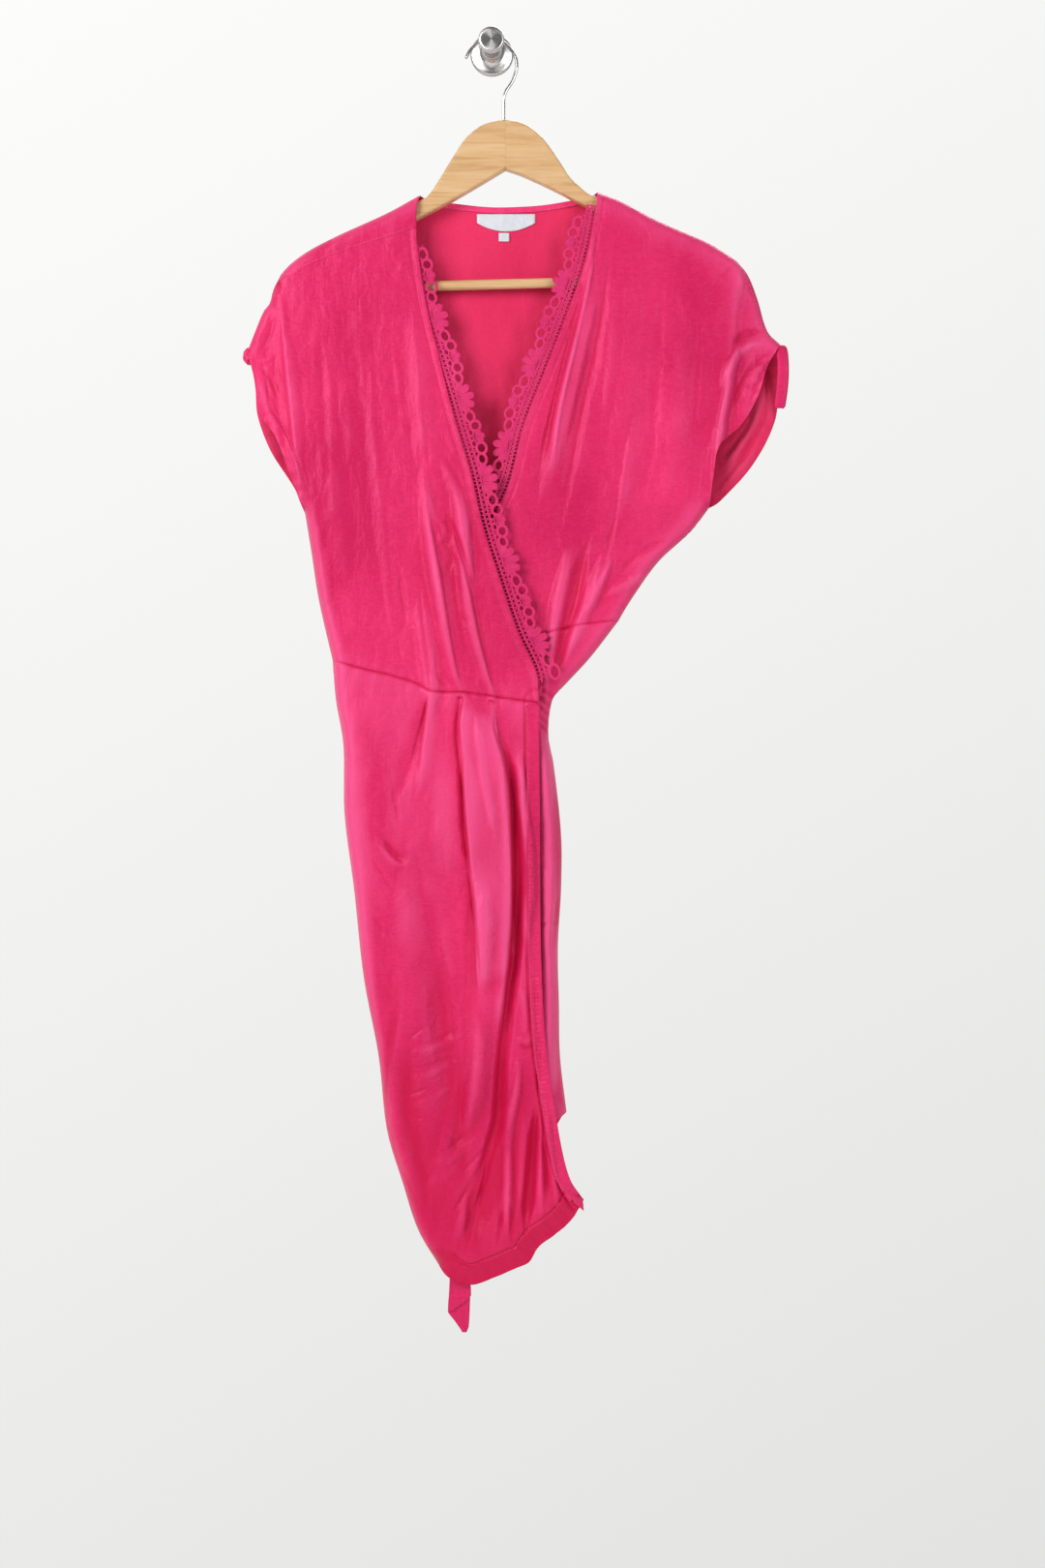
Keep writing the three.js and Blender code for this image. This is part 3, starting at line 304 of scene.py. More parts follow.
def mix(a, b, share):
    return a + (b - a) * share


def smooth(low, high, value):
    share = np.clip((value - low) / (high - low), 0, 1)
    return share * share * (3 - 2 * share)


def curve(rows):
    """A smooth curve through the rows, as a function of the share of its length."""
    points = np.array(rows, float)
    count = len(points)
    steps = np.linalg.norm(np.diff(points[:, :2], axis=0), axis=1)
    reach = np.concatenate([[0], np.cumsum(steps)])
    before = np.maximum(0, np.arange(count) - 1)
    after = np.minimum(count - 1, np.arange(count) + 1)
    slopes = (points[after] - points[before]) / (reach[after] - reach[before])[:, None]

    def at(share):
        place = np.atleast_1d(np.asarray(share, float)) * reach[-1]
        i = np.clip(np.searchsorted(reach, place) - 1, 0, count - 2)
        step = reach[i + 1] - reach[i]
        t = (place - reach[i]) / step
        rise = t * t * (3 - 2 * t)
        leave = t * (1 - t) * (1 - t) * step
        arrive = t * t * (t - 1) * step
        return (mix(points[i], points[i + 1], rise[:, None]) + slopes[i] * leave[:, None]
                + slopes[i + 1] * arrive[:, None])
    at.length = reach[-1]
    return at


def joined(*stretches):
    """Curves end to end, each up to its own share."""
    def at(share):
        share = np.atleast_1d(np.asarray(share, float))
        out = np.zeros((len(share), 2))
        start = 0
        for end, rows in stretches:
            inside = (share >= start) & (share <= end)
            if inside.any():
                out[inside] = curve(rows)((share[inside] - start) / (end - start))
            start = end
        return out
    return at


def backwards(rows):
    return list(reversed(rows))


def nearest(rows, x, z):
    """How far the nearest place on a polyline is, on which side, how far along, and the line's length."""
    best = np.full(np.shape(x), np.inf)
    side = np.zeros(np.shape(x))
    along = np.zeros(np.shape(x))
    passed = 0
    for (ax, az), (bx, bz) in zip(rows[:-1], rows[1:]):
        dx, dz = bx - ax, bz - az
        length = math.hypot(dx, dz)
        t = np.clip(((x - ax) * dx + (z - az) * dz) / length ** 2, 0, 1)
        distance = np.hypot(x - ax - t * dx, z - az - t * dz)
        closer = distance < best
        best = np.where(closer, distance, best)
        side = np.where(closer, np.sign((x - ax) * dz - (z - az) * dx), side)
        along = np.where(closer, passed + t * length, along)
        passed += length
    return best, side, along, passed


def sampled(rows, count):
    return curve(rows)(np.linspace(0, 1, count + 1)).tolist()


SEAMED_OUTLINE = [
    sampled(RIDGE_LEFT, 24) + sampled(OVERARM_LEFT, 16)[1:],
    sampled(SIDE_LEFT_BODICE, 12) + sampled(SIDE_LEFT_SKIRT, 50)[1:],
    sampled(RIDGE_RIGHT, 24) + sampled(OVERARM_RIGHT, 16)[1:],
    sampled(SIDE_RIGHT_BODICE, 12) + sampled(SIDE_RIGHT_SKIRT, 50)[1:],
]


def outline_rise(x, z):
    distance = np.min([nearest(rows, x, z)[0] for rows in SEAMED_OUTLINE], axis=0)
    inside = 1 - np.clip((distance - OUTLINE_SLACK) / EDGE_ROLL, 0, 1)
    return np.sqrt(np.maximum(0, 1 - inside * inside))


def fold_height(folds, x, z):
    height = np.zeros(np.shape(x))
    for crest, left, right, fade_share, *line in folds:
        path = sampled(line, 5 * (len(line) - 1)) if len(line) > 2 else line
        low, high = np.min(path, axis=0) - max(left, right), np.max(path, axis=0) + max(left, right)
        near = (x > low[0]) & (x < high[0]) & (z > low[1]) & (z < high[1])
        if not near.any():
            continue
        distance, side, along, length = nearest(path, x[near], z[near])
        ends = smooth(0, fade_share * length, along) * smooth(0, fade_share * length, length - along)
        width = np.where(side > 0, left, right) * (0.4 + 0.6 * ends)
        ends = ends * (1 + 0.15 * np.sin(along / 21 + 5 * crest + path[0][0]))
        profile = np.maximum(0, 1 - (distance / width) ** 2) ** 2
        height[near] += crest * profile * ends
    return height


def ripple(x, z, size_x, size_z, seed):
    """Smooth uneven bumps of about the given sizes, between -1 and 1."""
    heights = np.random.default_rng(seed).uniform(-1, 1, (97, 89))
    u, v = x / size_x + 40, z / size_z + 400
    i, j = np.floor(u).astype(int), np.floor(v).astype(int)
    fu, fv = u - i, v - j
    fu, fv = fu * fu * (3 - 2 * fu), fv * fv * (3 - 2 * fv)
    corner = lambda a, b: heights[(i + a) % 97, (j + b) % 89]
    return mix(mix(corner(0, 0), corner(1, 0), fu), mix(corner(0, 1), corner(1, 1), fu), fv)


def crumple(x, z, seed):
    """Small soft unevenness of hung satin, longer down than across."""
    return (0.5 * ripple(x + 0.25 * z, z, 17, 60, seed) + 0.3 * ripple(x - 0.3 * z, z, 9, 26, seed + 1)
            + 0.14 * ripple(x, z + 0.4 * x, 5, 9, seed + 2))


def sleeve_drop(x, z):
    left = nearest(SLEEVE_LINE_LEFT, x, z)
    right = nearest(SLEEVE_LINE_RIGHT, x, z)
    past = np.where(x < 0, np.where(left[1] > 0, left[0], 0), np.where(right[1] < 0, right[0], 0))
    return SLEEVE_DROP * smooth(0, 14, past)


def groove(line, x, z, offset, depth, width):
    """A narrow sewn line at an even distance from an edge."""
    distance = nearest(line, x, z)[0]
    return -depth * np.exp(-((distance - offset) / width) ** 2)


def band(line, x, z, width, height, fade=1):
    """A doubled edge, a little proud of the cloth, with its sewn line, fading over a stretch at its ends."""
    distance, _, along, length = nearest(line, x, z)
    ends = smooth(0, fade, along) * smooth(0, fade, length - along)
    raised = height * smooth(width + 0.8, width - 0.8, distance)
    raised = raised - 1.3 * height * np.exp(-((distance - width) / 1.1) ** 2)
    return raised * ends


def puckers(line, x, z, reach, pitch, height, seed):
    """Short ripples across a sewn edge, fading with distance from it."""
    distance, _, along, _ = nearest(line, x, z)
    swing = np.sin(2 * math.pi * (along / pitch + 0.5 * ripple(along, 0 * along, 4 * pitch, 10, seed)))
    uneven = 0.6 + 0.4 * ripple(along, 0 * along, 3 * pitch, 10, seed + 5)
    return height * swing * uneven * np.maximum(0, 1 - distance / reach)


NECK_OVER_LINE = sampled(NECK_OVER, 60)
NECK_UNDER_LINE = sampled(NECK_UNDER, 50)
WAIST_OVER_LINE = sampled(WAIST_OVER, 40)
WAIST_UNDER_LINE = sampled(WAIST_UNDER, 30)
WAIST_BACK_LINE = sampled(WAIST_BACK, 30)
HEM_OVER_LINE = sampled(HEM_OVER, 50)
HEM_UNDER_LINE = sampled(HEM_UNDER, 20)
HEM_BACK_LINE = sampled(HEM_BACK, 30)
PLACKET_LINE = sampled(OVERLAP_EDGE, 60)
CUFF_LEFT_LINE = sampled(CUFF_LEFT_FRONT, 30)
CUFF_RIGHT_LINE = sampled(CUFF_RIGHT_FRONT, 30)
CUFF_LEFT_BACK_LINE = sampled(CUFF_LEFT_BACK, 30)
CUFF_RIGHT_BACK_LINE = sampled(CUFF_RIGHT_BACK, 30)


def seam_sink(line, x, z, depth, reach):
    distance = nearest(line, x, z)[0]
    return -depth * np.maximum(0, 1 - distance / reach) ** 2


def depth_over(x, z):
    body = OVER_DEPTH + OVER_BELLY * smooth(-260, -440, z) + fold_height(FOLDS_OVER, x, z) - sleeve_drop(x, z)
    body += 1.4 * CRUMPLE * crumple(x, z, 3)
    body += band(NECK_OVER_LINE, x, z, NECK_BAND, 0.9) + puckers(NECK_OVER_LINE, x, z, 9, 11, 0.25, 21)
    body += seam_sink(WAIST_OVER_LINE, x, z, 2.4, 3.5) + puckers(WAIST_OVER_LINE, x, z, 14, 13, 0.4, 22)
    body += band(HEM_OVER_LINE, x, z, HEM_BAND, 1.4) + puckers(HEM_OVER_LINE, x, z, 30, 15, 0.8, 23)
    body += puckers(HEM_OVER_LINE, x, z, 26, 7, 0.45, 26)
    body -= 6 * smooth(HEM_BAND + 8, 0, nearest(HEM_OVER_LINE, x, z)[0])
    body += puckers(PLACKET_LINE, x, z, 20, 12, 0.4, 24)
    body += groove(PLACKET_LINE, x, z, PLACKET_WIDTH + 1.2, 1.8, 1.3)
    body += band(CUFF_LEFT_LINE, x, z, CUFF_BAND, 0.9, 45) + puckers(CUFF_LEFT_LINE, x, z, 18, 12, 0.4, 25)
    return mix(FRONT_EDGE, body, outline_rise(x, z))


def depth_under(x, z):
    hidden = smooth(4, -30, x - 0.25 * (z + 617)) * smooth(-420, -450, z)
    folds = fold_height(FOLDS_UNDER, x, z) + CRUMPLE * crumple(x, z, 13)
    body = UNDER_DEPTH + folds * (1 - hidden) - sleeve_drop(x, z)
    body += band(NECK_UNDER_LINE, x, z, NECK_BAND, 0.9) + puckers(NECK_UNDER_LINE, x, z, 9, 11, 0.25, 31)
    body += seam_sink(WAIST_UNDER_LINE, x, z, 1.8, 3) + puckers(WAIST_UNDER_LINE, x, z, 12, 12, 0.35, 32)
    body += band(HEM_UNDER_LINE, x, z, HEM_BAND, 0.8)
    body += band(CUFF_RIGHT_LINE, x, z, CUFF_BAND, 0.9, 45) + puckers(CUFF_RIGHT_LINE, x, z, 20, 14, 0.6, 33)
    return mix(FRONT_EDGE, body, outline_rise(x, z))


def depth_back(x, z):
    body = BACK_DEPTH - BACK_SINK * smooth(-240, -420, z) + fold_height(FOLDS_BACK, x, z)
    body += CRUMPLE * crumple(x, z, 43)
    body += puckers(HEM_BACK_LINE, x, z, 30, 17, 0.7, 46) - band(HEM_BACK_LINE, x, z, HEM_BAND, 1.2)
    body += puckers(WAIST_BACK_LINE, x, z, 14, 15, 0.5, 47) - seam_sink(WAIST_BACK_LINE, x, z, 2, 3.5)
    body += band(CUFF_LEFT_BACK_LINE, x, z, CUFF_BAND, 0.9, 45)
    body += puckers(CUFF_LEFT_BACK_LINE, x, z, 18, 12, 0.5, 44)
    body += band(CUFF_RIGHT_BACK_LINE, x, z, CUFF_BAND, 1.2, 45)
    body += puckers(CUFF_RIGHT_BACK_LINE, x, z, 18, 13, 0.7, 45)
    return mix(BACK_EDGE, body, outline_rise(x, z))


# Grids and meshes

def shares(count, length, rolls_at_start=False, rolls_at_end=False, seam_at_end=False, seam_at_start=False):
    """Shares from 0 to 1, closer together near an edge that rolls over or a seam."""
    roll = EDGE_ROLL * (1 - np.cos(np.radians([0, 10, 20, 30, 40, 50, 60, 75]))) / length
    seam = np.array([0, 0.7, 1.5, 2.4, 3.4]) / length
    start = roll if rolls_at_start else seam if seam_at_start else np.array([])
    end = roll if rolls_at_end else seam if seam_at_end else np.array([])
    first = start[-1] + 1.5 / length if len(start) else 0
    last = 1 - end[-1] - 1.5 / length if len(end) else 1
    return np.concatenate([start, np.linspace(first, last, count), 1 - end[::-1]])


def patch(top, bottom, left, right, columns, rows, depth):
    """Points between four curves in the x and z plane, at their depth, as rows by columns by x, y and z."""
    t, b = top(columns)[None], bottom(columns)[None]
    l, r = left(rows)[:, None], right(rows)[:, None]
    u, v = columns[None, :, None], rows[:, None, None]
    corners = mix(mix(top(0)[0], top(1)[0], u), mix(bottom(0)[0], bottom(1)[0], u), v)
    flat = mix(t, b, v) + mix(l, r, u) - corners
    x, z = flat[..., 0], flat[..., 1]
    return np.stack([x, -depth(x, z), z], axis=-1)


def grid_normals(grid):
    across = np.gradient(grid, axis=1)
    down = np.gradient(grid, axis=0)
    normal = np.cross(down, across)
    return normal / np.maximum(1e-9, np.linalg.norm(normal, axis=-1, keepdims=True))


def new_object(name, data):
    obj = bpy.data.objects.new(name, data)
    bpy.context.scene.collection.objects.link(obj)
    return obj


def piece(name, points, faces, materials, replaces=None, slot=None, indices=None):
    """A mesh object from points in millimetres, riding the root body."""
    mesh = bpy.data.meshes.new(name)
    mesh.from_pydata((np.asarray(points, float) / 1000).tolist(), [], faces)
    for material in materials:
        mesh.materials.append(material)
    mesh.polygons.foreach_set("use_smooth", np.ones(len(mesh.polygons), bool))
    if indices is not None:
        mesh.polygons.foreach_set("material_index", np.asarray(indices, np.int32))
    mesh.validate()
    obj = new_object(name, mesh)
    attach(obj, "root")
    if replaces:
        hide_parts(replaces)
    return obj


def shell_faces(rows, columns):
    """Faces of two like grids closed by a rim, and the kind of each: 1 for the second grid, otherwise 0."""
    index = np.arange(rows * columns).reshape(rows, columns)
    corners = [index[:-1, :-1], index[1:, :-1], index[1:, 1:], index[:-1, 1:]]
    front = np.stack(corners, axis=-1).reshape(-1, 4)
    back = front[:, [0, 3, 2, 1]] + index.size
    rim = np.concatenate([index[:, 0], index[-1, 1:], index[-2::-1, -1], index[0, -2:0:-1]])
    after = np.roll(rim, -1)
    sides = np.stack([rim, rim + index.size, after + index.size, after], axis=-1)
    kind = np.repeat([0, 1, 0], [len(front), len(back), len(sides)])
    return np.concatenate([front, back, sides]).tolist(), kind


def tube_faces(rings, sides, closed=False, reverse=False):
    """Faces between rings of points one after another, with a cap at each end unless the rings close up."""
    index = np.arange(rings * sides).reshape(rings, sides)
    far = np.roll(index, -1, axis=0)
    faces = np.stack([index, far, np.roll(far, -1, axis=1), np.roll(index, -1, axis=1)], axis=-1)
    if closed:
        return faces.reshape(-1, 4).tolist()
    faces = faces[:-1].reshape(-1, 4)
    caps = [index[0], index[-1][::-1]]
    if reverse:
        faces = faces[:, [0, 3, 2, 1]]
        caps = [cap[::-1] for cap in caps]
    return faces.tolist() + [cap.tolist() for cap in caps]


def painted_light_relief(grid, reach=7, passes=3):
    """How far each point lies below or above its surroundings, from -1 in a hollow to 1 on a crest, for
    painted shade and highlight.
    """
    rise = np.maximum(0.3, outline_rise(grid[..., 0], grid[..., 2]))
    depth = (-grid[..., 1] - SEAM_DEPTH) / rise
    around = depth.copy()
    for _ in range(passes):
        for axis in (0, 1):
            padded = np.pad(around, [(reach, reach) if a == axis else (0, 0) for a in (0, 1)], mode="edge")
            sums = np.cumsum(np.insert(padded, 0, 0, axis=axis), axis=axis)
            high = np.take(sums, np.arange(2 * reach + 1, sums.shape[axis]), axis=axis)
            low = np.take(sums, np.arange(0, sums.shape[axis] - 2 * reach - 1), axis=axis)
            around = (high - low) / (2 * reach + 1)
    return np.clip((depth - around) / RELIEF_HEIGHT, -1, 1)


def shell(name, grid, materials, inner=-CLOTH / 2, outer=CLOTH / 2, shade=0, **more):
    """A thin closed cloth between two distances from a grid. A large one gets painted shade and highlight."""
    normals = grid_normals(grid)
    layers = [(grid + normals * distance).reshape(-1, 3) for distance in (outer, inner)]
    faces, kind = shell_faces(*grid.shape[:2])
    indices = kind if len(materials) > 1 else None
    made = piece(name, np.concatenate(layers), faces, materials, indices=indices, **more)
    if min(grid.shape[:2]) > 20:
        # Painted shade: the height for the colour is lowered by the shade given and at the rolled edges
        at_edge = 1 - outline_rise(grid[..., 0], grid[..., 2])
        height = (painted_light_relief(grid) - shade - EDGE_PAINTED_SHADE * at_edge).ravel()
        layer = made.data.attributes.new("painted_light_relief", "FLOAT", "POINT")
        layer.data.foreach_set("value", np.concatenate([height, -height]).astype(np.float32))
    return made


class Heap:
    """Collects many small closed shapes for one mesh."""

    def __init__(self):
        self.points = []
        self.faces = []
        self.count = 0

    def add(self, points, faces):
        self.points.append(np.asarray(points, float))
        self.faces.extend([[i + self.count for i in face] for face in faces])
        self.count += len(points)

    def piece(self, name, materials, **more):
        return piece(name, np.concatenate(self.points), self.faces, materials, **more)


def sweep(path, width, height, sides=8, closed=False):
    """Points and faces of a cord with an oval section along a path; its height stands off the wall."""
    path = np.asarray(path, float)
    if closed:
        along = np.roll(path, -1, axis=0) - np.roll(path, 1, axis=0)
    else:
        along = np.gradient(path, axis=0)
    along /= np.maximum(1e-9, np.linalg.norm(along, axis=1, keepdims=True))
    across = np.cross(along, np.broadcast_to(OFF_THE_WALL, path.shape))
    across /= np.maximum(1e-9, np.linalg.norm(across, axis=1, keepdims=True))
    lift = np.cross(across, along)
    angle = np.linspace(0, 2 * math.pi, sides, endpoint=False)
    width = np.broadcast_to(np.asarray(width, float), len(path))[:, None, None] / 2
    height = np.broadcast_to(np.asarray(height, float), len(path))[:, None, None] / 2
    ring = (path[:, None] + across[:, None] * np.cos(angle)[None, :, None] * width
            + lift[:, None] * np.sin(angle)[None, :, None] * height)
    return ring.reshape(-1, 3), tube_faces(len(path), sides, closed)


def beside(at, share, step=0.004):
    """Places on a curve, and the directions that lead off it to one side."""
    ahead = at(np.minimum(1, share + step)) - at(np.maximum(0, share - step))
    ahead /= np.linalg.norm(ahead, axis=1, keepdims=True)
    return at(share), np.stack([-ahead[:, 1], ahead[:, 0]], axis=1)


# Materials

def colour(r, g, b):
    return (r, g, b, 1)


def fill(tree, node, inputs):
    """Sets a node's inputs, each from a value or from another node's output."""
    for name, value in inputs.items():
        if isinstance(value, bpy.types.NodeSocket):
            tree.links.new(value, node.inputs[name])
        else:
            node.inputs[name].default_value = value


def add_node(tree, kind, inputs=None, **settings):
    node = tree.nodes.new("ShaderNode" + kind)
    for name, value in settings.items():
        setattr(node, name, value)
    fill(tree, node, inputs or {})
    return node


def new_material(name):
    material = bpy.data.materials.new(name)
    material.use_nodes = True
    return material, material.node_tree, material.node_tree.nodes["Principled BSDF"]


def noise(tree, scale, detail=2, roughness=0.5, distortion=0, turn=0):
    """Noise with its own scale along each axis, turned about Y."""
    where = add_node(tree, "TexCoord").outputs["Object"]
    mapping = add_node(tree, "Mapping", {"Vector": where, "Scale": scale, "Rotation": (0, turn, 0)})
    return add_node(tree, "TexNoise", {
        "Vector": mapping.outputs["Vector"], "Scale": 1, "Detail": detail, "Roughness": roughness,
        "Distortion": distortion}).outputs["Fac"]


def ramp(tree, value, stops):
    node = add_node(tree, "ValToRGB", {"Fac": value})
    elements = node.color_ramp.elements
    while len(elements) < len(stops):
        elements.new(0.5)
    for element, (position, shade) in zip(elements, stops):
        element.position = position
        element.color = shade
    return node.outputs["Color"]


def span(tree, value, low, high, start=0, end=1):
    """The value's range from start to end, spread from low to high."""
    return add_node(tree, "MapRange", {
        "Value": value, "From Min": start, "From Max": end, "To Min": low, "To Max": high}).outputs["Result"]


def bump(tree, heights):
    """Bumps of (value, distance in metres, strength), one on another."""
    normal = {}
    for value, distance, strength in heights:
        node = add_node(tree, "Bump", {"Height": value, "Distance": distance, "Strength": strength, **normal})
        normal = {"Normal": node.outputs["Normal"]}
    return normal["Normal"]


def cloth_material(name, shades, deep, pale, gloss, sheen, weave, soft=1.0, tint=(1, 0.3, 0.6),
                   sheen_tint=(1, 0.25, 0.45)):
    """Satin: uneven colour, a painted shade in hollows and a painted highlight on crests, a fine weave and a
    broad tinted gloss.
    """
    material, tree, shader = new_material(name)
    soft_folds = noise(tree, (34, 34, 12), 3, 0.55, 0.6)
    cross = noise(tree, (140, 140, 1500), 2, 0.6)
    thread = noise(tree, (1500, 1500, 260), 1, 0.5)
    patches = noise(tree, (9, 9, 5), 3, 0.6, 0.4)
    grain = noise(tree, (210, 210, 520), 3, 0.7)
    creases = noise(tree, (70, 70, 42), 3, 0.6, 1.6, turn=0.5)
    pulls = noise(tree, (130, 130, 17), 2, 0.6, 0.5, turn=0.06)
    uneven = add_node(tree, "Mix", {"Factor": 0.3, "A": patches, "B": grain}).outputs["Result"]
    tone = ramp(tree, uneven, [(position, colour(*shade)) for position, shade in shades])
    # Painted shade and highlight: deep colour in hollows and pale colour on crests, from each point's stored
    # height above its surroundings
    height = add_node(tree, "Attribute", attribute_name="painted_light_relief").outputs["Fac"]
    for end, shade, most in ((-1, deep, 0.95), (1, pale, 0.8)):
        share = span(tree, height, 0, most, 0.06 * end, end)
        blend = {"A": tone, "B": colour(*shade), "Factor": share}
        tone = add_node(tree, "Mix", blend, data_type="RGBA").outputs["Result"]
    fill(tree, shader, {
        "Base Color": tone,
        "Roughness": span(tree, cross, gloss - 0.07, gloss + 0.09),
        "Normal": bump(tree, [
            (soft_folds, 0.004 * soft, 0.45), (creases, 0.0024 * soft, 0.45), (pulls, 0.0012 * soft, 0.45),
            (grain, 0.0006, weave), (cross, 0.0003, weave), (thread, 0.0002, weave)]),
        "Specular IOR Level": 0.6,
        "Specular Tint": colour(*tint),
        "Sheen Weight": sheen,
        "Sheen Roughness": 0.45,
        "Sheen Tint": colour(*sheen_tint)})
    return material


satin = cloth_material(
    "satin", [(0.36, (0.57, 0.008, 0.080)), (0.64, (0.79, 0.030, 0.145))],
    (0.56, 0.003, 0.05), (0.84, 0.085, 0.255), 0.43, 0.1, 0.32, 0.8)
satin_inside = cloth_material(
    "satin_inside", [(0.34, (0.66, 0.018, 0.083)), (0.66, (0.77, 0.03, 0.112))],
    (0.60, 0.006, 0.05), (0.80, 0.05, 0.15), 0.66, 0.12, 0.3, 0.6)
# The neck binding's satin made paler, a painted sheen for the shine of its face
satin_binding_painted_sheen = cloth_material(
    "satin_binding_painted_sheen", [(0.34, (0.74, 0.03, 0.14)), (0.66, (0.84, 0.05, 0.19))],
    (0.60, 0.006, 0.05), (0.84, 0.085, 0.255), 0.48, 0.25, 0.4)
thread_pink = cloth_material(
    "thread_pink", [(0.3, (0.80, 0.10, 0.26)), (0.7, (0.90, 0.17, 0.36))],
    (0.5, 0.01, 0.06), (0.9, 0.17, 0.36), 0.5, 0.2, 0.5)
lace_pink = cloth_material(
    "lace_pink", [(0.34, (0.60, 0.014, 0.11)), (0.66, (0.78, 0.045, 0.19))],
    (0.4, 0.004, 0.04), (0.7, 0.03, 0.14), 0.6, 0.4, 0.8)
label_white = cloth_material(
    "label_white", [(0.3, (0.60, 0.63, 0.69)), (0.7, (0.68, 0.70, 0.76))],
    (0.5, 0.5, 0.56), (0.68, 0.70, 0.76), 0.5, 0.2, 0.3, tint=(1, 1, 1), sheen_tint=(1, 1, 1))


def wood_material(name, degrees):
    """Pale wood, its grain turned by the given slope in the x and z plane."""
    material, tree, shader = new_material(name)
    slope = math.radians(degrees)
    grain = noise(tree, (10, 90, 190), 4, 0.6, 0.8, turn=slope)
    pores = noise(tree, (60, 700, 1400), 2, 0.6, turn=slope)
    shades = [
        (0.3, colour(0.52, 0.28, 0.11)), (0.48, colour(0.65, 0.395, 0.185)), (0.7, colour(0.72, 0.475, 0.25))]
    fill(tree, shader, {
        "Base Color": ramp(tree, grain, shades),
        "Roughness": span(tree, pores, 0.36, 0.52),
        "Normal": bump(tree, [(grain, 0.0003, 0.3), (pores, 0.0001, 0.4)]),
        "Coat Weight": 0.25,
        "Coat Roughness": 0.3})
    return material


wood_left = wood_material("wood_left", -27)
wood_right = wood_material("wood_right", 27)
wood_bar = wood_material("wood_bar", -1.4)


def steel_material(name, roughness, turned):
    """Steel: polished wire, or brushed in circles round the hook's own axis."""
    material, tree, shader = new_material(name)
    scratches = noise(tree, (900, 60, 900), 3, 0.6)
    fill(tree, shader, {
        "Metallic": 1,
        "Base Color": colour(0.62, 0.61, 0.6),
        "Roughness": span(tree, scratches, roughness - 0.05, roughness + 0.08),
        "Normal": bump(tree, [(scratches, 0.00005, 0.3)])})
    if turned:
        tangent = add_node(tree, "Tangent", direction_type="RADIAL", axis="Y")
        fill(tree, shader, {"Anisotropic": 0.85, "Tangent": tangent.outputs["Tangent"]})
    return material


steel_wire = steel_material("steel_wire", 0.16, False)
steel_brushed = steel_material("steel_brushed", 0.27, True)


# The panels

def bodice_over():
    return patch(
        top=joined([0.25, backwards(OVERARM_LEFT_FRONT)], [1, backwards(SEAM_LEFT)]),
        bottom=curve(WAIST_OVER),
        left=joined([0.52, CUFF_LEFT_FRONT], [1, SIDE_LEFT_BODICE]),
        right=curve(NECK_OVER),
        columns=shares(150, 200, rolls_at_start=True, seam_at_end=True),
        rows=shares(180, 440, rolls_at_start=True, seam_at_end=True),
        depth=depth_over)


def shoulder_left():
    return patch(
        top=curve(backwards(RIDGE_LEFT)),
        bottom=curve(backwards(SEAM_LEFT)),
        left=curve([RIDGE_LEFT[-1], SEAM_LEFT[-1]]),
        right=curve([RIDGE_LEFT[0], [-70, -156], SEAM_LEFT[0]]),
        columns=shares(70, 150),
        rows=shares(12, 30, rolls_at_start=True, seam_at_end=True),
        depth=depth_over)


def bodice_under():
    return patch(
        top=joined([0.75, RIDGE_RIGHT], [1, OVERARM_RIGHT]),
        bottom=curve(WAIST_UNDER),
        left=joined([0.7, NECK_UNDER], [1, NECK_UNDER_HIDDEN]),
        right=joined([0.5, CUFF_RIGHT_FRONT], [1, SIDE_RIGHT_BODICE]),
        columns=shares(130, 160, seam_at_start=True, rolls_at_end=True),
        rows=shares(180, 400, rolls_at_start=True, seam_at_end=True),
        depth=depth_under)


def back_columns(each):
    """Columns of the back, with one exactly on each corner of its top edge."""
    corners = [0] + BACK_CORNERS + [1]
    spans = [np.linspace(a, b, round(each * (b - a)) + 1)[:-1] for a, b in zip(corners[:-1], corners[1:])]
    middle = np.concatenate(spans + [[1]])
    roll = EDGE_ROLL * (1 - np.cos(np.radians([10, 20, 30, 40, 50, 60]))) / 330
    inside = middle[(middle > roll[-1]) & (middle < 1 - roll[-1])]
    return np.concatenate([[0], roll, inside, 1 - roll[::-1], [1]])


def bodice_back():
    return patch(
        top=joined([BACK_CORNERS[0], backwards(OVERARM_LEFT)], [BACK_CORNERS[1], backwards(RIDGE_LEFT)],
                   [BACK_CORNERS[2], NECK_BACK], [BACK_CORNERS[3], RIDGE_RIGHT], [1, OVERARM_RIGHT]),
        bottom=curve(WAIST_BACK),
        left=joined([0.52, CUFF_LEFT_BACK], [1, SIDE_LEFT_BODICE]),
        right=joined([0.5, CUFF_RIGHT_BACK], [1, SIDE_RIGHT_BODICE]),
        columns=back_columns(190),
        rows=shares(140, 420, rolls_at_start=True, seam_at_end=True),
        depth=depth_back)


def over_skirt_rows():
    """Rows of the over skirt, closer in its creased part and over its turned hem."""
    upper = 0.52 * shares(92, 280, seam_at_start=True)
    rows = np.concatenate([upper, np.linspace(0.52, 0.86, 126)[1:], np.linspace(0.86, 1, 38)[1:]])
    hem_start = 1 - (HEM_BAND + 6) / 540
    return np.concatenate([rows[rows < hem_start], np.linspace(hem_start, 1, 34)])


def skirt_over():
    return patch(
        top=curve(WAIST_OVER),
        bottom=curve(HEM_OVER),
        left=curve(SIDE_LEFT_SKIRT),
        right=curve(OVERLAP_EDGE),
        columns=shares(165, 185, rolls_at_start=True),
        rows=over_skirt_rows(),
        depth=depth_over)


def skirt_under():
    return patch(
        top=curve(WAIST_UNDER),
        bottom=curve(HEM_UNDER),
        left=curve(UNDER_SKIRT_HIDDEN),
        right=curve(SIDE_RIGHT_SKIRT),
        columns=shares(70, 130, rolls_at_end=True),
        rows=shares(200, 470, seam_at_start=True),
        depth=depth_under)


